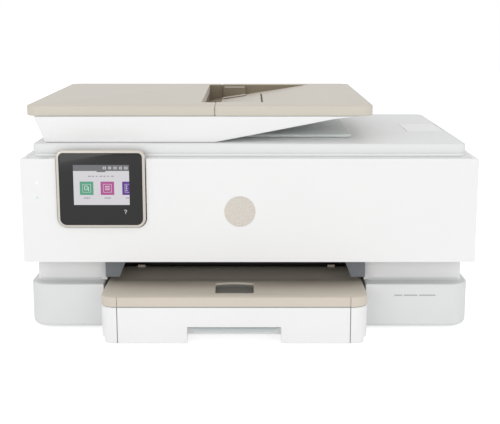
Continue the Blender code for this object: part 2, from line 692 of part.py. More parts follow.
def make_adf_guides(lid):
    """Two sheet guides that slide together across the feeder's floor."""
    x = (ADF_POCKET_X + 17 * MM, ADF_POCKET_X + 17 * MM + ADF_GUIDE_LENGTH)
    top = ADF_TOP - 1.2 * MM
    for name, y, inward in (("front", POCKET_Y[0] + 4 * MM, 1), ("rear", POCKET_Y[1] - 4 * MM, -1)):
        guide = new_body(f"adf_{name}_guide", (x[0], y, slope_level(x[0])), lid)
        outline = [(x[0], slope_level(x[0]) + GAP), (x[1], slope_level(x[1]) + GAP), (x[1], top), (x[0], top)]
        fence = piece(
            f"adf_{name}_guide", prism("Y", outline, (y - 1.2 * MM, y + 1.2 * MM)), guide, TRAY_BEIGE
        )
        foot = [(x[0], slope_level(x[0]) + GAP), (x[1], slope_level(x[1]) + GAP)]
        foot += [(x[1], slope_level(x[1]) + 1.5 * MM), (x[0], slope_level(x[0]) + 1.5 * MM)]
        join(fence, guide, prism("Y", foot, sorted((y, y + inward * 20 * MM))))


def make_adf_roller(lid):
    """The rubber roller and its shaft under the feeder's cover."""
    centre = (ADF_POCKET_X - 25 * MM, ADF_SEAM - 9.5 * MM)
    ends = (60 * MM + GAP, ADF_BACK - 42 * MM - GAP)
    middle = sum(ends) / 2
    roller = new_body("adf_pick_roller", (centre[0], middle, centre[1]), lid)
    drum = rod("Y", centre, PICK_RADIUS, (middle - 45 * MM, middle + 45 * MM))
    thing = piece("adf_pick_roller", drum, roller, RUBBER, smooth=True)
    join(thing, roller, rod("Y", centre, SHAFT_RADIUS, ends, 16))
    for side in (-1, 1):
        y = middle + side * 48 * MM
        flat = box(
            (centre[0] - 2 * MM, centre[0] + 2 * MM),
            (y - 2 * MM, y + 2 * MM),
            (centre[1], centre[1] + 4.5 * MM),
        )
        join(thing, roller, flat)


def make_output_plate(lid):
    """The low grey plate on the lid where the copied sheets land."""
    outline = rounded(
        (-14 * MM, ADF_RIGHT - 18 * MM), (55 * MM, ADF_BACK - 46 * MM), (0, 5 * MM, 5 * MM, 0), 3
    )
    plate = prism("Z", outline, (LID_TOP + GAP, LID_TOP + 3.4 * MM))
    piece("adf_output_plate", plate, lid, GREY, 1 * MM)


# ---- Front door ----
def make_front_door(door):
    """The door shell with the window for the touch panel, its ribs, pins and badge seat."""
    slab = box((-DOOR_SIDE, DOOR_SIDE), (0, DOOR_DEPTH), (DOOR_BOTTOM, DOOR_TOP))
    shell = piece("front_door", slab, door, WHITE, 0.8 * MM)
    window = widened((PANEL_X0, PANEL_X1), 1.2 * MM)
    rib = 2.5 * MM
    side = DOOR_SIDE - WALL
    behind = (WALL, DOOR_DEPTH + REACH)
    z = (DOOR_BOTTOM + WALL, DOOR_TOP - WALL)
    carve(shell, door, box((-side, window[0] - rib), behind, z))
    carve(shell, door, box((window[1] + rib, side), behind, z))
    sill = PANEL_BOTTOM - 1.2 * MM
    carve(shell, door, box((window[0], window[1]), behind, (z[0], sill - rib)))
    carve(shell, door, box(window, (-REACH, DOOR_DEPTH + REACH), (sill, PANEL_TOP + REACH)))
    axis = (PANEL_AXIS_DEPTH, PANEL_AXIS_Z)
    carve(shell, door, rod("X", axis, PANEL_PIN_RADIUS + GAP, widened(window, 2 * MM), 12))
    seat = rod("Y", (BADGE_X, DOOR_BOTTOM + BADGE_LEVEL), BADGE_RADIUS + GAP, (-REACH, 0.8 * MM), 40)
    carve(shell, door, seat)
    x0, x1, y0, y1 = button_span()
    carve(shell, door, box(widened((x0, x1), GAP), widened((y0, y1), GAP), (z[1] - 1 * MM, DOOR_TOP + REACH)))
    for sign in (-1, 1):
        ends = sorted((sign * (DOOR_SIDE - 1 * MM), sign * (SIDE - WALL - GAP)))
        join(shell, door, rod("X", (DOOR_AXIS[0], DOOR_BOTTOM + DOOR_AXIS[1]), DOOR_PIN_RADIUS, ends, 16))
    badge = rod("Y", (BADGE_X, DOOR_BOTTOM + BADGE_LEVEL), BADGE_RADIUS, (-0.2 * MM, 0.5 * MM), 40)
    piece("badge", badge, door, BEZEL, smooth=True)


def button_span():
    """Limits of the power button in x and y."""
    x = -SIDE + BUTTON_X
    y = WALL + GAP + BUTTON_SIZE[1] / 2
    return x - BUTTON_SIZE[0] / 2, x + BUTTON_SIZE[0] / 2, y - BUTTON_SIZE[1] / 2, y + BUTTON_SIZE[1] / 2


def make_power_button(door):
    """The flush button in the top edge of the door, with a collar that keeps it in."""
    x0, x1, y0, y1 = button_span()
    top = DOOR_TOP + 0.2 * MM
    button = new_body("power_button", ((x0 + x1) / 2, (y0 + y1) / 2, top), door)
    low = top - BUTTON_SIZE[2]
    cap = piece("power_button", box((x0, x1), (y0, y1), (low, top)), button, PALE_GREY)
    collar = box((x0 - 1 * MM, x1 + 1 * MM), (y0, y1 + 0.8 * MM), (low - 1 * MM, DOOR_TOP - WALL - GAP))
    join(cap, button, collar)


def make_touch_panel(door):
    """The tilting panel: a housing with a thin bezel, and the black glass in its front."""
    panel = new_body("touch_panel", ((PANEL_X0 + PANEL_X1) / 2, PANEL_AXIS_DEPTH, PANEL_AXIS_Z), door)
    outline = rounded((PANEL_X0, PANEL_X1), (PANEL_BOTTOM, PANEL_TOP), (PANEL_CORNER,) * 4, 4)
    y = (-PANEL_PROUD, PANEL_DEPTH - PANEL_PROUD)
    housing = piece("panel_housing", prism("Y", outline, y), panel, BEZEL, smooth=True)
    slope = [
        (y[1] - 2 * MM, PANEL_TOP + 1 * MM),
        (y[1] + 5 * MM, PANEL_TOP + 1 * MM),
        (y[1] + 5 * MM, PANEL_AXIS_Z + 3 * MM),
    ]
    slope += [(y[1], PANEL_AXIS_Z + 3 * MM)]
    carve(housing, panel, prism("X", slope, widened((PANEL_X0, PANEL_X1), 1 * MM)))
    inner = [widened((PANEL_X0, PANEL_X1), -PANEL_BEZEL), widened((PANEL_BOTTOM, PANEL_TOP), -PANEL_BEZEL)]
    radii = (PANEL_CORNER - PANEL_BEZEL,) * 4
    seat = rounded(*inner, radii, 4)
    carve(housing, panel, prism("Y", seat, (y[0] - REACH, y[0] + PANEL_GLASS + GAP)))
    middle = (PANEL_X0 + PANEL_X1) / 2
    bulge = box(
        (middle - 30 * MM, middle + 30 * MM),
        (y[1] - 0.5 * MM, y[1] + PANEL_BULGE),
        (PANEL_BOTTOM + 8 * MM, BED_BOTTOM - 1 * MM),
    )
    join(housing, panel, bulge)
    pin = rod(
        "X", (PANEL_AXIS_DEPTH, PANEL_AXIS_Z), PANEL_PIN_RADIUS, widened((PANEL_X0, PANEL_X1), 2.6 * MM), 12
    )
    join(housing, panel, pin)
    glass = rounded(
        widened(inner[0], -GAP), widened(inner[1], -GAP), (PANEL_CORNER - PANEL_BEZEL - GAP,) * 4, 4
    )
    piece("panel_glass", prism("Y", glass, (y[0], y[0] + PANEL_GLASS)), panel, GLOSS_BLACK, smooth=True)


# ---- Trays ----
def make_input_tray(root):
    """The drawer for blank paper, with its handle and its three sliding guides."""
    drawer = new_body("input_tray", (TRAY_CENTRE, TRAY_FRONT, 0), root)
    outline = rounded(
        (TRAY_LEFT, TRAY_RIGHT), (TRAY_FRONT, TRAY_BACK), (TRAY_CORNER, TRAY_CORNER, 2 * MM, 2 * MM), 5
    )
    bottom = 0.5 * MM
    tray = piece("input_tray", prism("Z", outline, (bottom, TRAY_TOP)), drawer, WHITE, 1 * MM, True)
    raised = FOOT_HEIGHT + WALL + GAP
    front = TRAY_FRONT + TRAY_FRONT_BOX
    under = box(
        widened((TRAY_LEFT, TRAY_RIGHT), REACH), (TRAY_FRONT + 5 * MM, TRAY_BACK + REACH), (-REACH, raised)
    )
    carve(tray, drawer, under)
    x = widened((TRAY_LEFT, TRAY_RIGHT), -TRAY_WALL)
    carve(tray, drawer, box(x, (front, TRAY_BACK - TRAY_WALL), (raised + WALL, TRAY_TOP + REACH)))
    grip_x = (TRAY_CENTRE - HANDLE_WIDTH / 2, TRAY_CENTRE + HANDLE_WIDTH / 2)
    depth = (TRAY_FRONT - REACH, front - TRAY_WALL)
    carve(tray, drawer, box(grip_x, depth, (-REACH, HANDLE_HEIGHT)))
    make_tray_handle(drawer, widened(grip_x, -GAP), depth[1] - GAP)
    make_paper_guides(drawer, raised + WALL, front)


def make_tray_handle(drawer, x, back):
    """The grey grip across the top of the handle opening, hollowed underneath for the fingers."""
    y = (TRAY_FRONT + 1.5 * MM, back)
    top = HANDLE_HEIGHT - GAP
    radius = 7 * MM
    arc = [math.pi / 2 * i / 5 for i in range(6)]
    outline = [(y[1] - radius * (1 - math.cos(a)), top - 9 * MM + radius * math.sin(a)) for a in arc]
    outline += [(y[0], top - 2 * MM), (y[0], top), (y[1], top)]
    piece("tray_handle", prism("X", outline, x), drawer, PALE_GREY, smooth=True)


def make_paper_guides(drawer, floor, front):
    """Two width guides that slide together, and the length guide at the front of the stack."""
    low = floor + GAP
    for name, side in (("left", -1), ("right", 1)):
        inner = TRAY_CENTRE + side * (PAPER_WIDTH / 2 + 0.5 * MM)
        guide = new_body(f"{name}_paper_guide", (inner, 95 * MM, floor), drawer)
        fence = box(sorted((inner, inner + side * 2.2 * MM)), (60 * MM, 130 * MM), (low, TRAY_TOP - 5 * MM))
        thing = piece(f"{name}_paper_guide", fence, guide, GREY)
        foot = box(
            sorted((inner + side * 1 * MM, inner - side * 22 * MM)),
            (62 * MM, 128 * MM),
            (low, low + 1.5 * MM),
        )
        join(thing, guide, foot)
    guide = new_body("length_guide", (TRAY_CENTRE, front, floor), drawer)
    x = (TRAY_CENTRE - 20 * MM, TRAY_CENTRE + 20 * MM)
    y = (front + GAP, front + GAP + 2.5 * MM)
    thing = piece("length_guide", box(x, y, (low, TRAY_TOP - 5 * MM)), guide, GREY)
    join(thing, guide, box(widened(x, -6 * MM), (y[0] + 1 * MM, y[0] + 24 * MM), (low, low + 1.5 * MM)))


def make_output_tray(root):
    """The beige tray over the drawer: two rails, a thin floor and the ramp at the back."""
    back = TRAY_FRONT + FLAT_LENGTH
    end = back + 43 * MM
    outline = rounded((TRAY_LEFT, TRAY_RIGHT), (TRAY_FRONT, end), (TRAY_CORNER, TRAY_CORNER, 0, 0), 5)
    tray = piece(
        "output_tray", prism("Z", outline, (OUTPUT_BOTTOM, OUTPUT_TOP)), root, TRAY_BEIGE, 0.8 * MM, True
    )
    channel = (TRAY_LEFT + LEFT_RAIL, TRAY_RIGHT - RIGHT_RAIL)
    floor = OUTPUT_BOTTOM + SLIDE_FLOOR
    carve(tray, root, box(channel, (TRAY_FRONT - REACH, end + REACH), (floor, OUTPUT_TOP + REACH)))
    low = floor + TONGUE + 2 * GAP
    ramp = [
        (back, low),
        (end, low),
        (end, OUTPUT_TOP + 11 * MM),
        (back + 12 * MM, OUTPUT_TOP + 8 * MM),
        (back, OUTPUT_TOP + 1 * MM),
    ]
    join(tray, root, prism("X", ramp, (TRAY_LEFT + 2 * MM, TRAY_RIGHT - 2 * MM)))


def make_extender(root):
    """The sliding middle of the output tray with its finger scoop and the paper stop."""
    slider = new_body("tray_extender", (TRAY_CENTRE, TRAY_FRONT, OUTPUT_TOP), root)
    x = (TRAY_LEFT + LEFT_RAIL + GAP, TRAY_RIGHT - RIGHT_RAIL - GAP)
    low = OUTPUT_BOTTOM + SLIDE_FLOOR + GAP
    back = TRAY_FRONT + FLAT_LENGTH - GAP
    extender = piece(
        "tray_extender", box(x, (TRAY_FRONT, back), (low, OUTPUT_TOP)), slider, TRAY_BEIGE, 0.8 * MM
    )
    join(
        extender,
        slider,
        box(widened(x, -2 * MM), (back - 5 * MM, back + 42 * MM), (low + 0.1 * MM, low + TONGUE)),
    )
    seat = scoop_outline(0)
    carve(extender, slider, prism("Z", seat, (OUTPUT_TOP - SCOOP_DEPTH, OUTPUT_TOP + REACH)))
    axis = (TRAY_CENTRE, SCOOP_Y[0] + 1.4 * MM, OUTPUT_TOP - SCOOP_DEPTH + 1.6 * MM)
    stop = new_body("paper_stop", axis, slider)
    level = (OUTPUT_TOP - SCOOP_DEPTH + GAP, OUTPUT_TOP - SCOOP_DEPTH + 2.2 * MM)
    piece("paper_stop", prism("Z", scoop_outline(PLAY), level), stop, GREY, smooth=True)


SCOOP_Y = (TRAY_FRONT + 17 * MM, TRAY_FRONT + 49 * MM)


def scoop_outline(margin):
    """A D on its back: straight at the front, an elliptical arch at the back."""
    half = SCOOP_WIDTH / 2 - margin
    front = SCOOP_Y[0] + margin
    shoulder = front + 12 * MM
    rise = SCOOP_Y[1] - margin - shoulder
    arc = [math.pi * i / 12 for i in range(13)]
    points = [(TRAY_CENTRE + half * math.cos(a), shoulder + rise * math.sin(a)) for a in arc]
    return points + [(TRAY_CENTRE - half, front), (TRAY_CENTRE + half, front)]


def make_exit_guides(root):
    """The two slanted blocks at the ends of the output slot."""
    z = (OUTPUT_TOP + 5 * MM, DOOR_BOTTOM - GAP)
    y = (16 * MM, WAIST_SETBACK - GAP)
    for name, wall, side in (("left", TUNNEL_LEFT, 1), ("right", TUNNEL_RIGHT, -1)):
        outer = wall - side * 4 * MM
        outline = [(outer, z[0]), (wall + side * 9 * MM, z[0]), (wall + side * 16 * MM, z[1]), (outer, z[1])]
        piece(f"{name}_exit_guide", prism("Y", outline, y), root, SLATE)


# ---- Print engine ----
def make_carriage_frame(root):
    """The folded steel frame that carries the guide rod, the belt and its motor."""
    half = WAIST_SIDE - WALL - 2 * MM
    low = DECK_TOP + GAP
    top = BED_BOTTOM - 4 * MM
    plate = box((-half, half), (FRAME_BACK, FRAME_BACK + SHEET), (low + 14 * MM, top))
    frame = piece("carriage_frame", plate, root, STEEL)
    for side in (-1, 1):
        ends = sorted((side * half, side * (half - SHEET)))
        join(frame, root, box(ends, (ROD_PLACE[0] - 22 * MM, FRAME_BACK + SHEET), (low, top)))
        foot = box(
            sorted((side * half, side * (half - 14 * MM))),
            (FRAME_BACK, FRAME_BACK + 24 * MM),
            (low, low + SHEET),
        )
        join(frame, root, foot)
    carve(frame, root, rod("X", ROD_PLACE, ROD_RADIUS + GAP, (-half - 1 * MM, half + 1 * MM)))
    carve(
        frame, root, rod("Y", (MOTOR_X, BELT_LEVEL), 3 * MM, (FRAME_BACK - 1 * MM, FRAME_BACK + 3 * MM), 16)
    )
    piece(
        "guide_rod",
        rod("X", ROD_PLACE, ROD_RADIUS, (-half - 1 * MM, half + 1 * MM)),
        root,
        STEEL,
        smooth=True,
    )
    motor = rod("Y", (MOTOR_X, BELT_LEVEL), 13 * MM, (FRAME_BACK + SHEET + GAP, FRAME_BACK + 32 * MM))
    piece("carriage_motor", motor, root, STEEL, smooth=True)


MOTOR_X = WAIST_SIDE - 22 * MM
IDLER_X = -(WAIST_SIDE - 22 * MM)


def make_belt(root):
    """The toothed belt's loop and the two pulleys that turn with the carriage."""
    y = (BELT_FRONT, BELT_FRONT + BELT_WIDTH)
    for radius, is_outer in ((PULLEY_RADIUS + GAP + BELT_THICKNESS, True), (PULLEY_RADIUS + GAP, False)):
        outline = []
        for x, start in ((MOTOR_X, -math.pi / 2), (IDLER_X, math.pi / 2)):
            arc = [start + math.pi * i / 10 for i in range(11)]
            outline += [(x + radius * math.cos(a), BELT_LEVEL + radius * math.sin(a)) for a in arc]
        if is_outer:
            belt = piece("drive_belt", prism("Y", outline, y), root, RUBBER, smooth=True)
        else:
            carve(belt, root, prism("Y", outline, widened(y, 1 * MM)))
    for name, x, end in (("motor", MOTOR_X, FRAME_BACK + SHEET), ("idler", IDLER_X, FRAME_BACK - GAP)):
        pulley = new_body(f"{name}_pulley", (x, BELT_FRONT, BELT_LEVEL), root)
        wheel = rod("Y", (x, BELT_LEVEL), PULLEY_RADIUS, y)
        thing = piece(f"{name}_pulley", wheel, pulley, PALE_GREY, smooth=True)
        join(thing, pulley, rod("Y", (x, BELT_LEVEL), 2.2 * MM, (y[0] - 2 * MM, end), 12))


def make_carriage(root):
    """The carriage, parked at the right, with two ink cartridges in its pockets."""
    x = (WAIST_SIDE - 80 * MM, WAIST_SIDE - 80 * MM + CARRIAGE_WIDTH)
    y = (ROD_PLACE[0] + 10 * MM - CARRIAGE_DEPTH, ROD_PLACE[0] + 10 * MM)
    z = (ROLLER_TOP + 9 * MM, ROLLER_TOP + 9 * MM + CARRIAGE_HEIGHT)
    body = new_body("carriage", (sum(x) / 2, *ROD_PLACE), root)
    carriage = piece("carriage", box(x, y, z), body, BLACK, 1 * MM)
    carve(carriage, body, rod("X", ROD_PLACE, ROD_RADIUS + GAP, widened(x, 1 * MM)))
    clamp_x = (sum(x) / 2 - 5 * MM, sum(x) / 2 + 5 * MM)
    clamp_z = (BELT_LEVEL - PULLEY_RADIUS - 4 * MM, BELT_LEVEL - PULLEY_RADIUS + 4 * MM)
    join(carriage, body, box(clamp_x, (y[1] - 1 * MM, BELT_FRONT - GAP), clamp_z))
    back = y[0] + 2 * MM + CARTRIDGE_DEPTH
    for name, share, finish in (("black", -1, BLACK), ("color", 1, INK_BLUE)):
        middle = sum(x) / 2 + share * (CARTRIDGE_WIDTH / 2 + 2.3 * MM)
        slot = (middle - CARTRIDGE_WIDTH / 2, middle + CARTRIDGE_WIDTH / 2)
        carve(
            carriage,
            body,
            box(widened(slot, GAP), (y[0] - REACH, back + GAP), (z[0] + 3 * MM, z[1] + REACH)),
        )
        nozzle_x = widened(slot, -4 * MM)
        nozzle_y = (y[0] + 20 * MM, back - 4 * MM)
        carve(
            carriage,
            body,
            box(widened(nozzle_x, GAP), widened(nozzle_y, GAP), (z[0] - REACH, z[0] + 4 * MM)),
        )
        tank = box(slot, (y[0] + 2 * MM, back), (z[0] + 3 * MM + GAP, z[1] - 4 * MM))
        cartridge = piece(f"{name}_cartridge", tank, body, finish)
        join(cartridge, body, box(nozzle_x, nozzle_y, (z[0] - 5 * MM, z[0] + 5 * MM)))


def make_platen(root):
    """The ribbed bed under the print line, and the pad that cleans the parked nozzles."""
    x = (TUNNEL_LEFT + 1 * MM, TUNNEL_RIGHT - 1 * MM)
    y = (EXIT_Y + EXIT_RADIUS + 2 * MM, FEED_Y - FEED_RADIUS - 2 * MM)
    top = ROLLER_TOP - 1 * MM
    platen = piece("platen", box(x, y, (top - 6 * MM, top - 1 * MM)), root, BLACK)
    for n in range(5):
        middle = x[0] + (n + 0.5) * (x[1] - x[0]) / 5
        join(platen, root, box((middle - 1 * MM, middle + 1 * MM), widened(y, -4 * MM), (top - 2 * MM, top)))
    for side, end in ((-1, x[0]), (1, x[1])):
        ear_x = sorted((end - side * 6 * MM, end + side * 4 * MM))
        join(platen, root, box(ear_x, widened(y, -14 * MM), (DECK_TOP + GAP, top - 1.5 * MM)))
    parked = (TUNNEL_RIGHT + 20 * MM, WAIST_SIDE - 14 * MM)
    pad = box(parked, (ROD_PLACE[0] - 44 * MM, ROD_PLACE[0] - 2 * MM), (DECK_TOP + GAP, ROLLER_TOP + 2 * MM))
    station = piece("service_station", pad, root, GREY)
    carve(
        station,
        root,
        box(
            widened(parked, -6 * MM),
            (ROD_PLACE[0] - 38 * MM, ROD_PLACE[0] - 8 * MM),
            (ROLLER_TOP, ROLLER_TOP + REACH),
        ),
    )


def make_rollers(root):
    """The feed and exit rollers across the paper path, and the gears that tie them."""
    shaft = (TUNNEL_LEFT - 14 * MM, TUNNEL_RIGHT + 3 * MM)
    gear_x = (TUNNEL_LEFT - 13 * MM, TUNNEL_LEFT - 13 * MM + GEAR_WIDTH)
    rubber = widened((TUNNEL_LEFT, TUNNEL_RIGHT), -8 * MM)
    line = math.atan2(FEED_AXIS[1] - EXIT_AXIS[1], FEED_AXIS[0] - EXIT_AXIS[0])
    for name, axis, radius in (
        ("feed_roller", FEED_AXIS, FEED_RADIUS), ("exit_roller", EXIT_AXIS, EXIT_RADIUS)
    ):
        body = new_body(name, (shaft[0], *axis), root)
        start = line + math.pi / ROLLER_TEETH
        thing = piece(name, rod("X", axis, radius, rubber), body, RUBBER, smooth=True)
        join(thing, body, rod("X", axis, SHAFT_RADIUS, shaft, 16))
        join(thing, body, prism("X", gear_outline(axis, ROLLER_TEETH, start), gear_x))
    middle = ((FEED_AXIS[0] + EXIT_AXIS[0]) / 2, (FEED_AXIS[1] + EXIT_AXIS[1]) / 2)
    idler = new_body("idler_gear", (gear_x[0], *middle), root)
    gear = piece("idler_gear", prism("X", gear_outline(middle, IDLER_TEETH, line), gear_x), idler, PALE_GREY)
    join(gear, idler, rod("X", middle, SHAFT_RADIUS, (TUNNEL_LEFT - 20 * MM, TUNNEL_LEFT - 3 * MM - GAP), 16))


def make_pickup(root):
    """The arm over the paper stack with the roller that picks the top sheet."""
    axis = Vector((ARM_EARS[0], *ARM_AXIS))
    arm = new_body("pickup_arm", axis, root)
    ends = (ARM_EARS[0] - 3 * MM, ARM_EARS[1] + 7 * MM)
    thing = piece("pickup_arm", rod("X", ARM_AXIS, SHAFT_RADIUS, ends, 16), arm, GREY, smooth=True)
    roller_at = (ARM_AXIS[0] - PICKUP_ARM, ARM_AXIS[1] - 8 * MM)
    x = (ARM_EARS[0] + 5 * MM, ARM_EARS[1] - 1 * MM)
    for side in (0, 1):
        plate_x = (x[side] - side * 3 * MM, x[side] + (1 - side) * 3 * MM)
        outline = [(ARM_AXIS[0] + 4 * MM, ARM_AXIS[1] - 4 * MM), (ARM_AXIS[0] + 4 * MM, ARM_AXIS[1] + 4 * MM)]
        outline += [
            (roller_at[0] - 4 * MM, roller_at[1] + 4 * MM), (roller_at[0] - 4 * MM, roller_at[1] - 4 * MM)
        ]
        join(thing, arm, prism("X", outline, plate_x))
    roller = new_body("pickup_roller", (x[0], *roller_at), arm)
    bore = rod("X", roller_at, 2 * MM + GAP, widened(x, 1 * MM), 16)
    carve(thing, arm, bore)
    drum = rod("X", roller_at, PICKUP_RADIUS, widened(x, -3.6 * MM))
    tyre = piece("pickup_roller", drum, roller, RUBBER, smooth=True)
    join(tyre, roller, rod("X", roller_at, 2 * MM, widened(x, -0.5 * MM), 16))


def make_electronics(root):
    """The main board and the power supply on the deck behind the engine."""
    low = DECK_TOP + GAP
    right = WAIST_SIDE - WALL - 3 * MM
    board_y = (FRAME_BACK + 44 * MM, WAIST_BACK - 12 * MM)
    board = piece(
        "main_board", box((TUNNEL_RIGHT + 8 * MM, right), board_y, (low, low + 1.6 * MM)), root, BOARD
    )
    for share, size in ((0.25, 14 * MM), (0.5, 20 * MM), (0.75, 12 * MM)):
        y = board_y[0] + share * (board_y[1] - board_y[0])
        x = TUNNEL_RIGHT + 45 * MM
        join(
            board,
            root,
            box((x - size / 2, x + size / 2), (y - size / 2, y + size / 2), (low + 1 * MM, low + 5 * MM)),
        )
    supply_x = (-(WAIST_SIDE - WALL - 3 * MM), TUNNEL_LEFT - 8 * MM)
    supply = box(supply_x, (FRAME_BACK + 44 * MM, WAIST_BACK - WALL - 4 * MM), (low, low + 38 * MM))
    piece("power_supply", supply, root, BLACK)


def main():
    """Build the printer."""
    for thing in list(bpy.data.objects):
        bpy.data.objects.remove(thing)
    root = new_body("printer")
    root.empty.location = (0, -DEPTH / 2 + TRAY_REACH, 0)
    make_bottom_case(root)
    make_waist_frame(root)
    make_feet(root)
    make_side_housings(root)
    make_rear_cover(root)
    make_power_inlet(root)
    make_rear_door(root)
    make_scanner_bed(root)
    make_scan_bar(root)
    make_lid_hinges(root)
    lid = new_body("lid", (0, LID_AXIS_Y, LID_AXIS_Z), root)
    make_lid(lid)
    make_document_stop(lid)
    make_adf_body(lid)
    make_adf_input_tray(lid)
    make_adf_cover(lid)
    make_adf_guides(lid)
    make_adf_roller(lid)
    make_output_plate(lid)
    door = new_body("front_door", (0, DOOR_AXIS[0], DOOR_BOTTOM + DOOR_AXIS[1]), root)
    make_front_door(door)
    make_power_button(door)
    make_touch_panel(door)
    make_input_tray(root)
    make_output_tray(root)
    make_extender(root)
    make_exit_guides(root)
    make_carriage_frame(root)
    make_belt(root)
    make_carriage(root)
    make_platen(root)
    make_rollers(root)
    make_pickup(root)
    make_electronics(root)


main()
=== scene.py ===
"""Looks of an all-in-one inkjet printer with a document feeder.

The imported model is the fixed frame. The classes below dress its solids with procedural finishes,
put smooth surfaces in place of the plain outer shells, and add the small things that a printer
carries: the lit screen, lamps, seams, screws, vents, sockets and a row of plain dashes.
"""

import logging
import math
from dataclasses import dataclass, field
from enum import Enum
from typing import Callable, Sequence, Union

import bmesh
import bpy
import numpy as np
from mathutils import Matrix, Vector


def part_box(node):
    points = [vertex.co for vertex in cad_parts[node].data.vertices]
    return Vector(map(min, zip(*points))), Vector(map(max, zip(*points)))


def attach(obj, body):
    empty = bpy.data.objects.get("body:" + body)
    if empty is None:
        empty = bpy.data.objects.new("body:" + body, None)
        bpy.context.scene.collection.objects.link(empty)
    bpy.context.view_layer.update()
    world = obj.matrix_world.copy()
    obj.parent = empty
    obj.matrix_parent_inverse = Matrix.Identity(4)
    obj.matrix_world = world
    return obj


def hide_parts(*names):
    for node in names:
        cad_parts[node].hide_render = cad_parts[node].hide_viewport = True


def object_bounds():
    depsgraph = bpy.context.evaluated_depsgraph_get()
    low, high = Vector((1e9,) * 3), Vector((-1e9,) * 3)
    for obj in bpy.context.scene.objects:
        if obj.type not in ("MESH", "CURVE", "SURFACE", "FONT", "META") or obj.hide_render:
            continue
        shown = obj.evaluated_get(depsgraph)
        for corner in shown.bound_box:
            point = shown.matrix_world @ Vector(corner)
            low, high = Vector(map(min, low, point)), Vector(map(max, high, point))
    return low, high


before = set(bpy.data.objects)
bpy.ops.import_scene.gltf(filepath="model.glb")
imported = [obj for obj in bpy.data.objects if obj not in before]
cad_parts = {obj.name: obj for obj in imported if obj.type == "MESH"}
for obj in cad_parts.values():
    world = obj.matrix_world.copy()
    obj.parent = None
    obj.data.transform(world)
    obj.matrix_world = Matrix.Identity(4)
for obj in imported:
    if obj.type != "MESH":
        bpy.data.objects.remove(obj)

CAD_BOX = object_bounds()
MM = 0.001
LOG = logging.getLogger("printer")

Colour = tuple[float, float, float, float]
Place = tuple[float, float, float]
Span = tuple[float, float]
Line = Callable[[float], np.ndarray]
Thing = bpy.types.Object


def srgb(red: float, green: float, blue: float) -> Colour:
    """Turns a colour on the 0-255 sRGB scale into the linear colour that a shader takes.

    Args:
        red: Red, 0 to 255.
        green: Green, 0 to 255.
        blue: Blue, 0 to 255.

    Returns:
        Linear red, green, blue and an alpha of 1.
    """
    share = np.array([red, green, blue]) / 255.0
    linear = np.where(share <= 0.04045, share / 12.92, ((share + 0.055) / 1.055) ** 2.4)
    return (*linear.tolist(), 1.0)


# ---- Shader maths ----
class Wire:
    """A socket's value, which takes part in arithmetic by adding Math nodes."""

    def __init__(self, tree: "Tree", socket: bpy.types.NodeSocket) -> None:
        """Holds the socket and the tree that it belongs to."""
        self.tree = tree
        self.socket = socket

    def _math(self, operation: str, first: "Value", second: "Value") -> "Wire":
        """Adds one Math node and returns its value."""
        return self.tree.add("ShaderNodeMath", {"operation": operation}, {0: first, 1: second}).out(0)

    def __add__(self, other: "Value") -> "Wire":
        """Adds."""
        return self._math("ADD", self, other)

    def __radd__(self, other: "Value") -> "Wire":
        """Adds, reflected."""
        return self._math("ADD", other, self)

    def __mul__(self, other: "Value") -> "Wire":
        """Multiplies."""
        return self._math("MULTIPLY", self, other)

    def __gt__(self, other: "Value") -> "Wire":
        """Is 1 where this value is the greater."""
        return self._math("GREATER_THAN", self, other)

    def __mod__(self, other: "Value") -> "Wire":
        """Wraps the value into 0 to other, also below zero."""
        return self._math("FLOORED_MODULO", self, other)


Value = Union[Wire, float, Colour, Place]


class Made:
    """A node that has been added, with its outputs as wires."""

    def __init__(self, tree: "Tree", node: bpy.types.Node) -> None:
        """Holds the node."""
        self.tree = tree
        self.node = node

    def out(self, key: Union[int, str]) -> Wire:
        """Returns one output as a wire."""
        return Wire(self.tree, self.node.outputs[key])


class Tree:
    """A node tree that is being put together."""

    def __init__(self, owner: bpy.types.ID) -> None:
        """Empties the tree of a material or a world."""
        owner.use_nodes = True
        self.nodes = owner.node_tree.nodes
        self.links = owner.node_tree.links
        self.nodes.clear()

    def add(self, kind: str, settings: dict = {}, sockets: dict = {}) -> Made:
        """Adds any node.

        Args:
            kind: The node's type.
            settings: Properties, such as the operation.
            sockets: Values or wires by the input's name or number.

        Returns:
            The node.
        """
        node = self.nodes.new(kind)
        for key, value in settings.items():
            setattr(node, key, value)
        for key, value in sockets.items():
            self._plug(node.inputs[key], value)
        return Made(self, node)

    def _plug(self, socket: bpy.types.NodeSocket, value: Value) -> None:
        """Links a wire to a socket, or sets the socket's own value."""
        if isinstance(value, Wire):
            self.links.new(value.socket, socket)
        else:
            socket.default_value = value


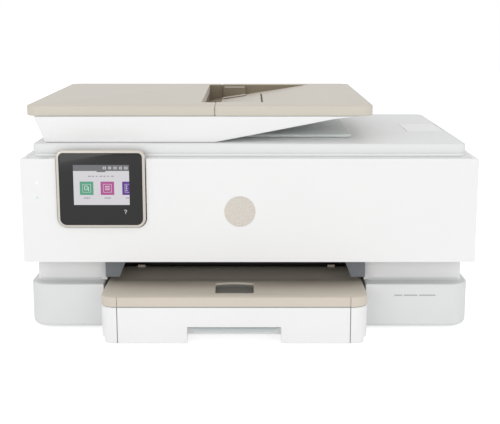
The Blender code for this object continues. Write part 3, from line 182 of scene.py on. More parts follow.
class Bench(Tree):
    """One material's node tree, on which its finish is put together."""

    def __init__(self, name: str) -> None:
        """Makes a material with a Principled shader and an output."""
        self.material = bpy.data.materials.new(name)
        super().__init__(self.material)
        self.shader = self.add("ShaderNodeBsdfPrincipled")
        self.add("ShaderNodeOutputMaterial", {}, {"Surface": self.shader.out(0)})

    def set(self, **values: Value) -> None:
        """Sets or links inputs of the shader, with underscores for the spaces in their names."""
        for key, value in values.items():
            self._plug(self.shader.node.inputs[key.replace("_", " ")], value)

    def place(self) -> Wire:
        """Returns the Object coordinates."""
        return self.add("ShaderNodeTexCoord").out("Object")

    def noise(self, size: float, detail: float = 2.0, roughness: float = 0.5) -> Wire:
        """Returns cloud noise from 0 to 1 whose lumps are about size metres across."""
        sockets = {"Vector": self.place(), "Scale": 1 / size, "Detail": detail, "Roughness": roughness}
        return self.add("ShaderNodeTexNoise", {}, sockets).out(0)

    def mix(self, factor: Value, first: Value, second: Value) -> Wire:
        """Mixes two colours."""
        sockets = {"Factor": factor, 6: first, 7: second}
        return self.add("ShaderNodeMix", {"data_type": "RGBA"}, sockets).out(2)

    def bump(self, height: Wire, depth: float) -> None:
        """Raises the surface by height times depth, in metres."""
        sockets = {"Height": height, "Distance": depth, "Strength": 1.0}
        self.set(Normal=self.add("ShaderNodeBump", {}, sockets).out(0))


# ---- Finishes ----
class Texture(Enum):
    """How a mould's wall is finished, as the size of its grain and its depth, in metres."""

    POLISHED = (0.9 * MM, 0.0015 * MM)
    SATIN = (0.45 * MM, 0.006 * MM)
    FINE = (0.6 * MM, 0.014 * MM)
    COARSE = (0.9 * MM, 0.03 * MM)


@dataclass(frozen=True)
class Moulded:
    """Injection-moulded plastic: an even colour, faint flow marks and the grain of the mould.

    Attributes:
        name: Material name.
        colour: Linear colour.
        roughness: Mean roughness.
        texture: The mould's grain.
        drift: How far the colour darkens in the flow marks, as a share.
        coat: Weight of a clear lacquer.
        metallic: Share of metal flake in the colour.
    """

    name: str
    colour: Colour
    roughness: float = 0.45
    texture: Texture = Texture.SATIN
    drift: float = 0.03
    coat: float = 0.0
    metallic: float = 0.0

    def material(self) -> bpy.types.Material:
        """Builds the finish: colour times (1 - drift * clouds), grain in roughness and bump."""
        bench = Bench(self.name)
        size, depth = self.texture.value
        grain = bench.noise(size, 3.0, 0.6)
        darker = (*[part * (1 - self.drift) for part in self.colour[:3]], 1.0)
        bench.set(
            Base_Color=bench.mix(bench.noise(60 * MM, 1.0), self.colour, darker),
            Roughness=self.roughness - 0.04 + grain * 0.08,
            Metallic=self.metallic,
            Coat_Weight=self.coat,
            Coat_Roughness=0.08,
        )
        bench.bump(grain, depth)
        return bench.material


@dataclass(frozen=True)
class Rubber:
    """Soft rubber: matt and dark, with a fine ground surface and a bloom of dust."""

    name: str
    colour: Colour
    ridge: float = 0.0

    def material(self) -> bpy.types.Material:
        """Builds the finish: dust in clouds over the dark colour, and ridges across X if any."""
        bench = Bench(self.name)
        dust = tuple(part + 0.05 for part in self.colour[:3]) + (1.0,)
        grain = bench.noise(0.5 * MM, 4.0, 0.7)
        bench.set(
            Base_Color=bench.mix(bench.noise(14 * MM, 3.0) * 0.8, self.colour, dust),
            Roughness=0.78 + grain * 0.14,
        )
        height = grain
        if self.ridge:
            across = bench.add("ShaderNodeSeparateXYZ", {}, {0: bench.place()}).out(0) % self.ridge
            height = grain * 0.3 + (across > self.ridge / 2)
        bench.bump(height, 0.03 * MM)
        return bench.material


@dataclass(frozen=True)
class Metal:
    """Drawn or ground steel, brushed along one axis."""

    name: str
    colour: Colour
    roughness: float = 0.28
    along: int = 0

    def material(self) -> bpy.types.Material:
        """Builds the finish: noise stretched forty times along the brushing, in roughness and bump."""
        bench = Bench(self.name)
        stretch = [1.0, 1.0, 1.0]
        stretch[self.along] = 0.025
        turned = bench.add("ShaderNodeMapping", {}, {"Vector": bench.place(), "Scale": tuple(stretch)})
        sockets = {"Vector": turned.out(0), "Scale": 1 / (0.35 * MM), "Detail": 3.0}
        streaks = bench.add("ShaderNodeTexNoise", {}, sockets).out(0)
        bench.set(
            Base_Color=bench.mix(bench.noise(30 * MM), self.colour, srgb(150, 152, 156)),
            Metallic=1.0,
            Roughness=self.roughness - 0.06 + streaks * 0.14,
        )
        bench.bump(streaks, 0.004 * MM)
        return bench.material


@dataclass(frozen=True)
class Pane:
    """Clear or smoked sheet glass with a faint smear of handling."""

    name: str
    colour: Colour
    clear: float = 0.0

    def material(self) -> bpy.types.Material:
        """Builds the finish: smooth glass whose roughness rises a little in soft smears."""
        bench = Bench(self.name)
        smear = bench.noise(25 * MM, 3.0, 0.6)
        bench.set(
            Base_Color=bench.mix(smear, self.colour, tuple(min(1.0, c * 1.08) for c in self.colour)),
            Roughness=0.03 + smear * 0.05,
            Transmission_Weight=self.clear,
            IOR=1.5,
            Coat_Weight=0.1,
            Coat_Roughness=0.03,
        )
        bench.bump(smear, 0.002 * MM)
        return bench.material


@dataclass(frozen=True)
class Lit:
    """Something that gives light of its own, such as a screen's picture or a lamp."""

    name: str
    colour: Colour
    strength: float = 0.9

    def material(self) -> bpy.types.Material:
        """Builds the finish: the colour as light, with a fine mesh of picture cells in it."""
        bench = Bench(self.name)
        cell = bench.noise(0.4 * MM, 1.0)
        dim = (*[part * 0.96 for part in self.colour[:3]], 1.0)
        glow = bench.mix(cell, self.colour, dim)
        bench.set(
            Base_Color=srgb(20, 20, 22),
            Roughness=0.15,
            Emission_Color=glow,
            Emission_Strength=self.strength,
        )
        return bench.material


@dataclass(frozen=True)
class Board:
    """A printed circuit board: green resist over copper tracks."""

    name: str

    def material(self) -> bpy.types.Material:
        """Builds the finish: brick-like tracks a little lighter and raised on the dark green."""
        bench = Bench(self.name)
        sockets = {
            "Vector": bench.place(),
            "Scale": 1 / (22 * MM),
            "Mortar Size": 0.02,
            "Color1": (0, 0, 0, 1),
            "Color2": (0.1, 0.1, 0.1, 1),
            "Mortar": (1, 1, 1, 1),
        }
        tracks = bench.add("ShaderNodeTexBrick", {}, sockets).out(1)
        bench.set(
            Base_Color=bench.mix(tracks, srgb(34, 84, 54), srgb(70, 132, 84)),
            Roughness=0.35 + bench.noise(6 * MM) * 0.15,
            Coat_Weight=0.4,
        )
        bench.bump(tracks, 0.03 * MM)
        return bench.material


@dataclass(frozen=True)
class Foam:
    """The lid's white foam sheet, with open cells under a thin film."""

    name: str

    def material(self) -> bpy.types.Material:
        """Builds the finish: small round cells as shallow pits and a faint grey in each."""
        bench = Bench(self.name)
        sockets = {"Vector": bench.place(), "Scale": 1 / (1.1 * MM)}
        cells = bench.add("ShaderNodeTexVoronoi", {}, sockets).out("Distance")
        bench.set(
            Base_Color=bench.mix(cells, srgb(238, 238, 234), srgb(250, 250, 248)),
            Roughness=0.85 + bench.noise(8 * MM) * 0.1,
        )
        bench.bump(cells, 0.05 * MM)
        return bench.material


class Palette(Enum):
    """The printer's finishes by their plain names."""

    WHITE = Moulded("white", srgb(240, 240, 240), 0.42, Texture.SATIN, 0.02)
    # Partly painted shade: a greyer white with a finer grain, darkened also to stand for the shade under the
    # door's overhang.
    COOL_WHITE = Moulded("cool_white", srgb(224, 225, 225), 0.5, Texture.FINE, 0.02)
    # Painted shade: a darker copy of the white moulding, for the lid and the scanner bed.
    LID_WHITE = Moulded("lid_white", srgb(230, 231, 231), 0.42, Texture.SATIN, 0.02)
    BEIGE = Moulded("beige", srgb(208, 201, 189), 0.42, Texture.SATIN, 0.03)
    TRAY_BEIGE = Moulded("tray_beige", srgb(212, 203, 189), 0.5, Texture.FINE, 0.04)
    BEZEL = Moulded("bezel", srgb(206, 200, 190), 0.3, Texture.POLISHED, 0.02, 0.4, 0.35)
    BADGE = Moulded("badge_finish", srgb(214, 207, 198), 0.28, Texture.POLISHED, 0.02, 0.3, 0.3)
    # Painted shade: a darker beige that stands for the shade inside the feeder's pocket, on its liners and
    # guides.
    POCKET_SHADE = Moulded("pocket_beige", srgb(138, 126, 106), 0.55, Texture.FINE, 0.05)
    # Partly painted shade: grey plastic darkened further to stand for the shade in the tray's finger opening.
    SCOOP_SHADE = Moulded("scoop_grey", srgb(126, 124, 119), 0.45, Texture.SATIN, 0.04)
    PLATE_GREY = Moulded("plate_grey", srgb(222, 227, 226), 0.45, Texture.SATIN)
    DASH = Moulded("dash_grey", srgb(160, 162, 162), 0.5)
    GREY = Moulded("grey", srgb(150, 154, 153), 0.5, Texture.FINE)
    SLATE = Moulded("slate", srgb(112, 116, 121), 0.5, Texture.FINE)
    PALE_GREY = Moulded("pale_grey", srgb(190, 196, 196), 0.4)
    BLACK = Moulded("black", srgb(30, 30, 32), 0.5, Texture.COARSE, 0.1)
    GLOSS_BLACK = Pane("gloss_black", srgb(14, 14, 15))
    INK_BLUE = Moulded("ink_blue", srgb(60, 96, 160), 0.4)
    RUBBER = Rubber("rubber", srgb(45, 45, 46))
    BELT = Rubber("belt", srgb(30, 30, 31), 2 * MM)
    STEEL = Metal("steel", srgb(176, 178, 181))
    CLEAR = Pane("glass", srgb(225, 235, 233), 0.9)
    BOARD = Board("board")
    FOAM = Foam("foam")
    SEAM = Moulded("seam_shadow", srgb(66, 64, 60), 0.8, Texture.FINE)
    SCREEN = Lit("screen_ground", srgb(219, 217, 221))
    SCREEN_BAR = Lit("screen_bar", srgb(112, 113, 116))
    MARK = Lit("screen_mark", srgb(246, 246, 248))
    LABEL = Lit("screen_label", srgb(120, 116, 130))
    GREEN = Lit("tile_green", srgb(84, 162, 130))
    PINK = Lit("tile_pink", srgb(178, 80, 146))
    PURPLE = Lit("tile_purple", srgb(92, 44, 146))
    LAMP_WHITE = Lit("lamp_white", srgb(255, 255, 255), 1.1)
    LAMP_GREEN = Lit("lamp_green", srgb(176, 232, 216), 1.0)


MATERIALS = {finish: finish.value.material() for finish in Palette}

ORDER = {"Z": (0, 1, 2), "Y": (0, 2, 1), "X": (2, 0, 1)}
QUARTER = math.pi / 2


# ---- Mesh work ----
def linked(name: str, mesh: bpy.types.Mesh) -> Thing:
    """Puts a mesh into the scene as an object."""
    made = bpy.data.objects.new(name, mesh)
    bpy.context.scene.collection.objects.link(made)
    return made


def mesh_object(name: str, points: np.ndarray, faces: Sequence, smooth: float = 40.0) -> Thing:
    """Puts points and faces into a new object, and turns the faces of a solid outwards.

    Args:
        name: The piece's name.
        points: Places in metres, x, y and z along the last axis.
        faces: Corner numbers of each face.
        smooth: Edges sharper than this many degrees stay sharp.

    Returns:
        The object, linked to the scene.
    """
    mesh = bpy.data.meshes.new(name)
    mesh.from_pydata(points.reshape(-1, 3).tolist(), [], [list(face) for face in faces])
    mesh.validate()
    if len(faces) > 1:
        work = bmesh.new()
        work.from_mesh(mesh)
        bmesh.ops.recalc_face_normals(work, faces=work.faces)
        work.to_mesh(mesh)
        work.free()
    mesh.shade_smooth()
    mesh.set_sharp_from_angle(angle=math.radians(smooth))
    return linked(name, mesh)


def skin(name: str, rings: np.ndarray, closed: bool = False, smooth: float = 40.0) -> Thing:
    """Joins rings of equally many points, each closed on itself, into one solid.

    Args:
        name: The piece's name.
        rings: (rings, points, 3) places.
        closed: Whether the last ring meets the first, as in a frame; if not, both ends are capped.
        smooth: Edges sharper than this many degrees stay sharp.

    Returns:
        The object.
    """
    number = np.arange(rings.shape[0] * rings.shape[1]).reshape(rings.shape[:2])
    first = number if closed else number[:-1]
    above = np.roll(number, -1, axis=0) if closed else number[1:]
    quads = np.stack([first, np.roll(first, -1, axis=1), np.roll(above, -1, axis=1), above], axis=-1)
    ends = [] if closed else [number[0].tolist(), number[-1].tolist()]
    return mesh_object(name, rings, quads.reshape(-1, 4).tolist() + ends, smooth)


def outline(x: tuple[float, float], y: tuple[float, float], radii: Sequence[float], inset: float = 0.0,
            steps: int = 12, between: int = 0) -> np.ndarray:
    """A rectangle with round corners, moved inwards by inset.

    Each corner is centre + r * (cos a, sin a) over a quarter turn, where the radius r shrinks with
    the inset and the centre moves in once r has reached zero. Points in between split each side
    evenly, for a side that is bent afterwards.

    Args:
        x: Left and right.
        y: Low and high.
        radii: Radii of the corners from low x, low y and on anticlockwise.
        inset: How far the line is moved inwards.
        steps: Segments in each corner.
        between: Extra points on each straight side.

    Returns:
        (4 * (steps + 1 + between), 2) points, anticlockwise.
    """
    sides = np.array([(-1, -1), (1, -1), (1, 1), (-1, 1)], float)
    corner = np.array([(x[0], y[0]), (x[1], y[0]), (x[1], y[1]), (x[0], y[1])], float)
    full = np.asarray(radii, float)
    radius = np.maximum(full - inset, 0.0)
    centre = corner - sides * np.maximum(full, inset)[:, None]
    quarter = np.linspace(0.0, math.pi / 2, steps + 1)
    angle = math.pi * (1 + np.arange(4)[:, None] / 2) + quarter[None, :]
    wheel = np.stack([np.cos(angle), np.sin(angle)], axis=-1)
    arcs = centre[:, None, :] + radius[:, None, None] * wheel
    share = (np.arange(between) + 1.0) / (between + 1)
    start = arcs[:, -1, :][:, None, :]
    end = np.roll(arcs[:, 0, :], -1, axis=0)[:, None, :]
    sides_between = start + (end - start) * share[None, :, None]
    return np.concatenate([arcs, sides_between], axis=1).reshape(-1, 2)


def drawn_in(points: np.ndarray, inset: float) -> np.ndarray:
    """Moves a closed anticlockwise outline inwards.

    Each corner moves by inset * (n1 + n2) / (1 + n1 . n2), where n1 and n2 are the inward normals
    of the sides that meet there.

    Args:
        points: (n, 2) corners.
        inset: Distance.

    Returns:
        (n, 2) corners.
    """
    ahead = np.roll(points, -1, axis=0) - points
    ahead = ahead / np.linalg.norm(ahead, axis=1, keepdims=True)
    inward = np.stack([-ahead[:, 1], ahead[:, 0]], axis=-1)
    before = np.roll(inward, 1, axis=0)
    spread = 1 + (inward * before).sum(axis=1, keepdims=True)
    return points + inset * (inward + before) / spread


def circle(centre: tuple[float, float], radius: float, points: int = 48) -> np.ndarray:
    """Points of a circle, anticlockwise: centre + radius * (cos a, sin a)."""
    angle = np.arange(points) * (2 * math.pi / points)
    return np.array(centre) + radius * np.stack([np.cos(angle), np.sin(angle)], axis=-1)


def rectangle(x: Span, y: Span, radii: Union[float, Sequence[float]] = 0.0, steps: int = 1) -> Line:
    """Returns a rectangle's outline as a function of how far it is drawn in."""
    corners = (radii,) * 4 if isinstance(radii, float) else radii
    return lambda inset: outline(x, y, corners, inset, steps)


def grown(ends: Sequence[float], room: float) -> Span:
    """Moves both ends of a stretch outwards."""
    return ends[0] - room, ends[1] + room


def stand(flat: np.ndarray, level: float, axis: str) -> np.ndarray:
    """Places flat points at a level along an axis; "Z" takes them as x, y, "Y" as x, z, "X" as y, z."""
    return np.column_stack([flat, np.full(len(flat), level)])[:, ORDER[axis]]


def rounded_profile(low: float, high: float, foot: float, brow: float, steps: int = 5) -> list[Span]:
    """The side of a slab as (inset, level) pairs: a quarter round foot, a wall and a quarter round brow."""
    turn = np.linspace(0.0, QUARTER, steps + 1)
    bend = [(1 - math.sin(angle), 1 - math.cos(angle)) for angle in turn]
    below = [(foot * side, low + foot * rise) for side, rise in bend] if foot else [(0.0, low)]
    above = [(brow * rise, high - brow * side) for side, rise in bend] if brow else [(0.0, high)]
    return below + above


def slab(name: str, line: Line, profile: Sequence[Span], axis: str = "Z", smooth: float = 40.0,
         closed: bool = False) -> Thing:
    """A solid slab: the outline carried through a side profile, with flat ends.

    Ring i is the outline moved inwards by the profile's inset i and placed at its level i along
    the axis, so that the surface is a function of place along the outline and place along the side.

    Args:
        name: The piece's name.
        line: Gives the outline for an inset.
        profile: (inset, level) pairs.
        axis: The axis that the levels run along.
        smooth: Edges sharper than this many degrees stay sharp.
        closed: Whether the profile is a closed section, which makes a frame round an opening.

    Returns:
        The object.
    """
    rings = [stand(line(inset), level, axis) for inset, level in profile]
    return skin(name, np.stack(rings), closed, smooth)


def rim(name: str, line: Line, section: Sequence[Span], axis: str = "Z") -> Thing:
    """A frame round an opening: a closed section carried once round an outline."""
    return slab(name, line, section, axis, closed=True)


def holed_plate(name: str, outer: np.ndarray, hole: np.ndarray, levels: Span,
                lip: float = 0.0) -> Thing:
    """A flat plate with an opening.

    Point i of the outer line is joined straight to point i of the opening, above and below, so
    that the top is ruled between the two; a lip rounds the upper edge of both.

    Args:
        name: The piece's name.
        outer: (n, 2) outer line, anticlockwise.
        hole: (n, 2) opening, anticlockwise, with as many points.
        levels: Underside and top.
        lip: Radius of the rounding.

    Returns:
        The object.
    """
    low, high = levels
    side = [(0.0, low)]
    for angle in np.linspace(0.0, QUARTER, 4 if lip else 1):
        side.append((lip * (1 - math.cos(angle)), high - lip * (1 - math.sin(angle))))
    rings = [stand(drawn_in(outer, inset), level, "Z") for inset, level in side]
    rings += [stand(drawn_in(hole, -inset), level, "Z") for inset, level in side[::-1]]
    return skin(name, np.stack(rings), True, 30.0)


def sheet(name: str, top: Callable, x: np.ndarray, y: np.ndarray, under: Callable,
          bend: Callable = lambda a, b: (a, b)) -> Thing:
    """A closed plate whose top and underside are heights over a grid in x and y.

    The top is z = top(x, y) and the underside z = under(x, y) on the same grid; the four sides
    join the edges of the two. The grid's lines may be bent in plan.

    Args:
        name: The piece's name.
        top: Height of the upper surface over arrays of x and y.
        x: Grid lines across.
        y: Grid lines along.
        under: Height of the lower surface.
        bend: Takes grid values to places in plan.

    Returns:
        The object.
    """
    across, along = np.meshgrid(x, y, indexing="ij")
    plan = bend(across, along)
    levels = [np.stack([*plan, height(across, along)], axis=-1) for height in (top, under)]
    total = across.size
    number = np.arange(total).reshape(across.shape)
    corners = [number[:-1, :-1], number[1:, :-1], number[1:, 1:], number[:-1, 1:]]
    quads = np.stack(corners, axis=-1).reshape(-1, 4)
    border = np.concatenate([number[:, 0], number[-1, 1:], number[-2::-1, -1], number[0, -2:0:-1]])
    after = np.roll(border, -1)
    sides = np.stack([border + total, after + total, after, border], axis=-1)
    return mesh_object(name, np.stack(levels), np.concatenate([quads, quads + total, sides]).tolist(), 30.0)


def tube(name: str, path: np.ndarray, radius: float, sides: int = 10) -> Thing:
    """A round bar along a path, with capped ends.

    At each point the section is radius * (cos a * n + sin a * b), where n and b stand square to
    the path's direction.

    Args:
        name: The piece's name.
        path: (n, 3) points.
        radius: Radius in metres.
        sides: Points round the section.

    Returns:
        The object.
    """
    ahead = np.gradient(path, axis=0)
    ahead = ahead / np.linalg.norm(ahead, axis=1, keepdims=True)
    guide = np.eye(3)[int(np.argmin(np.abs(ahead).sum(axis=0)))]
    side = np.cross(ahead, guide)
    side = side / np.linalg.norm(side, axis=1, keepdims=True)
    over = np.cross(ahead, side)
    wheel = circle((0.0, 0.0), radius, sides)
    section = wheel[None, :, :1] * side[:, None, :] + wheel[None, :, 1:] * over[:, None, :]
    return skin(name, path[:, None, :] + section, smooth=50.0)


def joined(name: str, parts: Sequence[Thing]) -> Thing:
    """Makes one piece out of several parts that share a finish, and removes the parts."""
    work = bmesh.new()
    for part in parts:
        work.from_mesh(part.data)
        bpy.data.objects.remove(part)
    mesh = bpy.data.meshes.new(name)
    work.to_mesh(mesh)
    work.free()
    return linked(name, mesh)


def plate(x: Span, z: Span, face: float, proud: float, radius: float = 0.0) -> Thing:
    """A thin plate that stands proud of a face seen from the front, such as a mark or a seam."""
    profile = [(0.0, face + 0.05 * MM), (0.0, face - proud)]
    return slab("plate", rectangle(x, z, radius, 4 if radius else 1), profile, "Y")


def finish_piece(made: Thing, finish: Palette, body: str, node: str = "") -> None:
    """Gives a new piece its finish and the body that it rides on, hides the solid that it replaces, and logs
    it.

    Args:
        made: The piece.
        finish: Its finish.
        body: The body.
        node: The solid that it takes the place of, if any.
    """
    made.data.materials.clear()
    made.data.materials.append(MATERIALS[finish])
    if node:
        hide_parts(node)
    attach(made, body)
    LOG.info("%s: %d faces on %s", made.name, len(made.data.polygons), body)


def soften(name: str, node: str, width: float, finish: Palette, body: str, segments: int = 3) -> None:
    """Puts in a solid's place a copy with its sharp edges rounded and its round corners smooth.

    The copy's loose triangles are welded and its flat faces joined again before the edges are cut.

    Args:
        name: The new piece's name.
        node: The solid that it stands for.
        width: Width of the rounding in metres.
        finish: Its finish.
        body: The body that it rides on.
        segments: Facets across the rounding.
    """
    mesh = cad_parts[node].data.copy()
    mesh.name = name
    work = bmesh.new()
    work.from_mesh(mesh)
    bmesh.ops.remove_doubles(work, verts=work.verts, dist=0.001 * MM)
    bmesh.ops.dissolve_limit(work, angle_limit=math.radians(0.5), verts=work.verts, edges=work.edges)
    for face in work.faces:
        face.smooth = True
    work.to_mesh(mesh)
    work.free()
    mesh.set_sharp_from_angle(angle=math.radians(35))
    made = linked(name, mesh)
    cut = made.modifiers.new("edges", "BEVEL")
    cut.width = width
    cut.segments = segments
    cut.limit_method = "ANGLE"
    cut.angle_limit = math.radians(38)
    cut.use_clamp_overlap = True
    cut.harden_normals = True
    finish_piece(made, finish, body, node)


def dress(finish: Palette, *nodes: str) -> None:
    """Gives solids that keep their shape a better finish."""
    for node in nodes:
        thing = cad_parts[node]
        if not thing.material_slots:
            thing.data.materials.append(None)
        for place in thing.material_slots:
            place.material = MATERIALS[finish]
        LOG.info("%s: dressed in %s", node, finish.name.lower())


def span(node: str) -> tuple[np.ndarray, np.ndarray]:
    """The lowest and highest corner of a solid as arrays."""
    low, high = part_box(node)
    return np.array(low), np.array(high)


# ---- Studio ----
@dataclass
class Studio:
    """Camera, soft lights and a pale floor.

    Attributes:
        lens: Focal length in millimetres on a 36 mm wide sensor.
        place: The camera's place, in front of the printer and a little above it.
        pitch: How far the camera looks down, in degrees.
        surround: Strength of the even light from all sides.
        glow: The floor's own brightness to the eye.
        bounce: The floor's own brightness to everything else.
        panels: Name, place and watts of each soft light.
        panel_side: Side of a soft light in metres.
        aim: The point that the lights face.
    """

    lens: float = 74.5
    place: Place = (0.0006, -1.1784, 0.335)
    pitch: float = 11.47
    surround: float = 0.88
    glow: float = 0.6
    bounce: float = 0.2
    panels: tuple = (("key", (-1.0, -2.1, 0.5), 5.4), ("fill", (1.1, -2.0, 0.3), 4.4))
    panel_side: float = 1.2
    aim: Place = (0.0, 0.0, 0.1)

    def camera(self) -> None:
        """Puts the camera in place and makes it the scene's."""
        data = bpy.data.cameras.new("camera")
        data.lens = self.lens
        data.sensor_width = 36.0
        data.clip_start = 0.01
        eye = bpy.data.objects.new("camera", data)
        eye.location = self.place
        eye.rotation_euler = (math.radians(90 - self.pitch), 0.0, 0.0)
        bpy.context.scene.collection.objects.link(eye)
        bpy.context.scene.camera = eye

    def sky(self) -> None:
        """Lights the scene evenly, and shows white where nothing stands."""
        world = bpy.data.worlds.new("surround")
        tree = Tree(world)
        path = tree.add("ShaderNodeLightPath")
        rays = {0: path.out("Is Camera Ray"), 1: path.out("Is Transmission Ray")}
        seen = tree.add("ShaderNodeMath", {"operation": "MAXIMUM"}, rays).out(0)
        levels = {"Value": seen, "To Min": self.surround, "To Max": 1.0}
        strength = tree.add("ShaderNodeMapRange", {}, levels).out(0)
        sockets = {"Color": (1.0, 1.0, 1.0, 1.0), "Strength": strength}
        ground = tree.add("ShaderNodeBackground", {}, sockets).out(0)
        tree.add("ShaderNodeOutputWorld", {}, {"Surface": ground})
        bpy.context.scene.world = world

    def lamp(self, name: str, place: Place, power: float) -> None:
        """Hangs one square soft light.

        Args:
            name: Its name.
            place: Where it hangs.
            power: Watts.
        """
        data = bpy.data.lights.new(name, "AREA")
        data.size = self.panel_side
        data.energy = power
        light = bpy.data.objects.new(name, data)
        light.location = place
        light.rotation_euler = (Vector(self.aim) - Vector(place)).to_track_quat("-Z", "Y").to_euler()
        bpy.context.scene.collection.objects.link(light)

    def floor(self) -> None:
        """Lays a pale floor that keeps the printer's shadow, its own glow lifting it to white."""
        reach = 4.0
        ring = circle((0.0, 0.0), reach, 64)
        floor = mesh_object("floor", stand(ring, 0.0, "Z"), [list(range(len(ring)))])
        bench = Bench("floor")
        path = bench.add("ShaderNodeLightPath")
        shown = path.out("Is Camera Ray")
        bench.set(
            Base_Color=(0.8, 0.8, 0.8, 1.0),
            Roughness=0.9,
            Specular_IOR_Level=0.0,
            Emission_Color=bench.mix(shown, (self.bounce,) * 3 + (1.0,), (self.glow,) * 3 + (1.0,)),
            Emission_Strength=1.0,
        )
        floor.data.materials.append(bench.material)

    def build(self) -> None:
        """Sets up the whole studio."""
        self.camera()
        self.sky()
        self.floor()
        for name, place, power in self.panels:
            self.lamp(name, place, power)
        bpy.context.scene.view_settings.view_transform = "Standard"


# ---- Small hardware ----
@dataclass
class Screws:
    """Pan-head screws with a round socket.

    Attributes:
        radius: Radius of the head.
        height: Height of the head.
        socket: Radius of the socket.
    """

    radius: float = 2.6 * MM
    height: float = 1.1 * MM
    socket: float = 1.1 * MM

    def build(self, name: str, places: Sequence[Place], axis: str, side: float, body: str) -> None:
        """Turns one head's profile round and repeats it at every place.

        The profile runs out from the seat, over the crown as a quarter of an ellipse, and down
        into the socket; each ring is radius * (cos a, sin a) at its level.

        Args:
            name: Name of the piece.
            places: Centres of the heads on the surface.
            axis: Axis that the screws point along.
            side: 1 or -1, the way that the heads face along it.
            body: Body that they ride on.
        """
        turn = np.linspace(0.0, QUARTER, 5)
        reach = [*(self.socket + (self.radius - self.socket) * np.cos(turn)), self.socket, 0.02 * MM]
        level = [*(self.height * np.sin(turn)), self.height * 0.3, self.height * 0.3]
        rings = np.stack([stand(circle((0, 0), r, 12), h * side, axis) for r, h in zip(reach, level)])
        heads = [skin("head", rings + np.array(place), smooth=35.0) for place in places]
        finish_piece(joined(name, heads), Palette.STEEL, body)


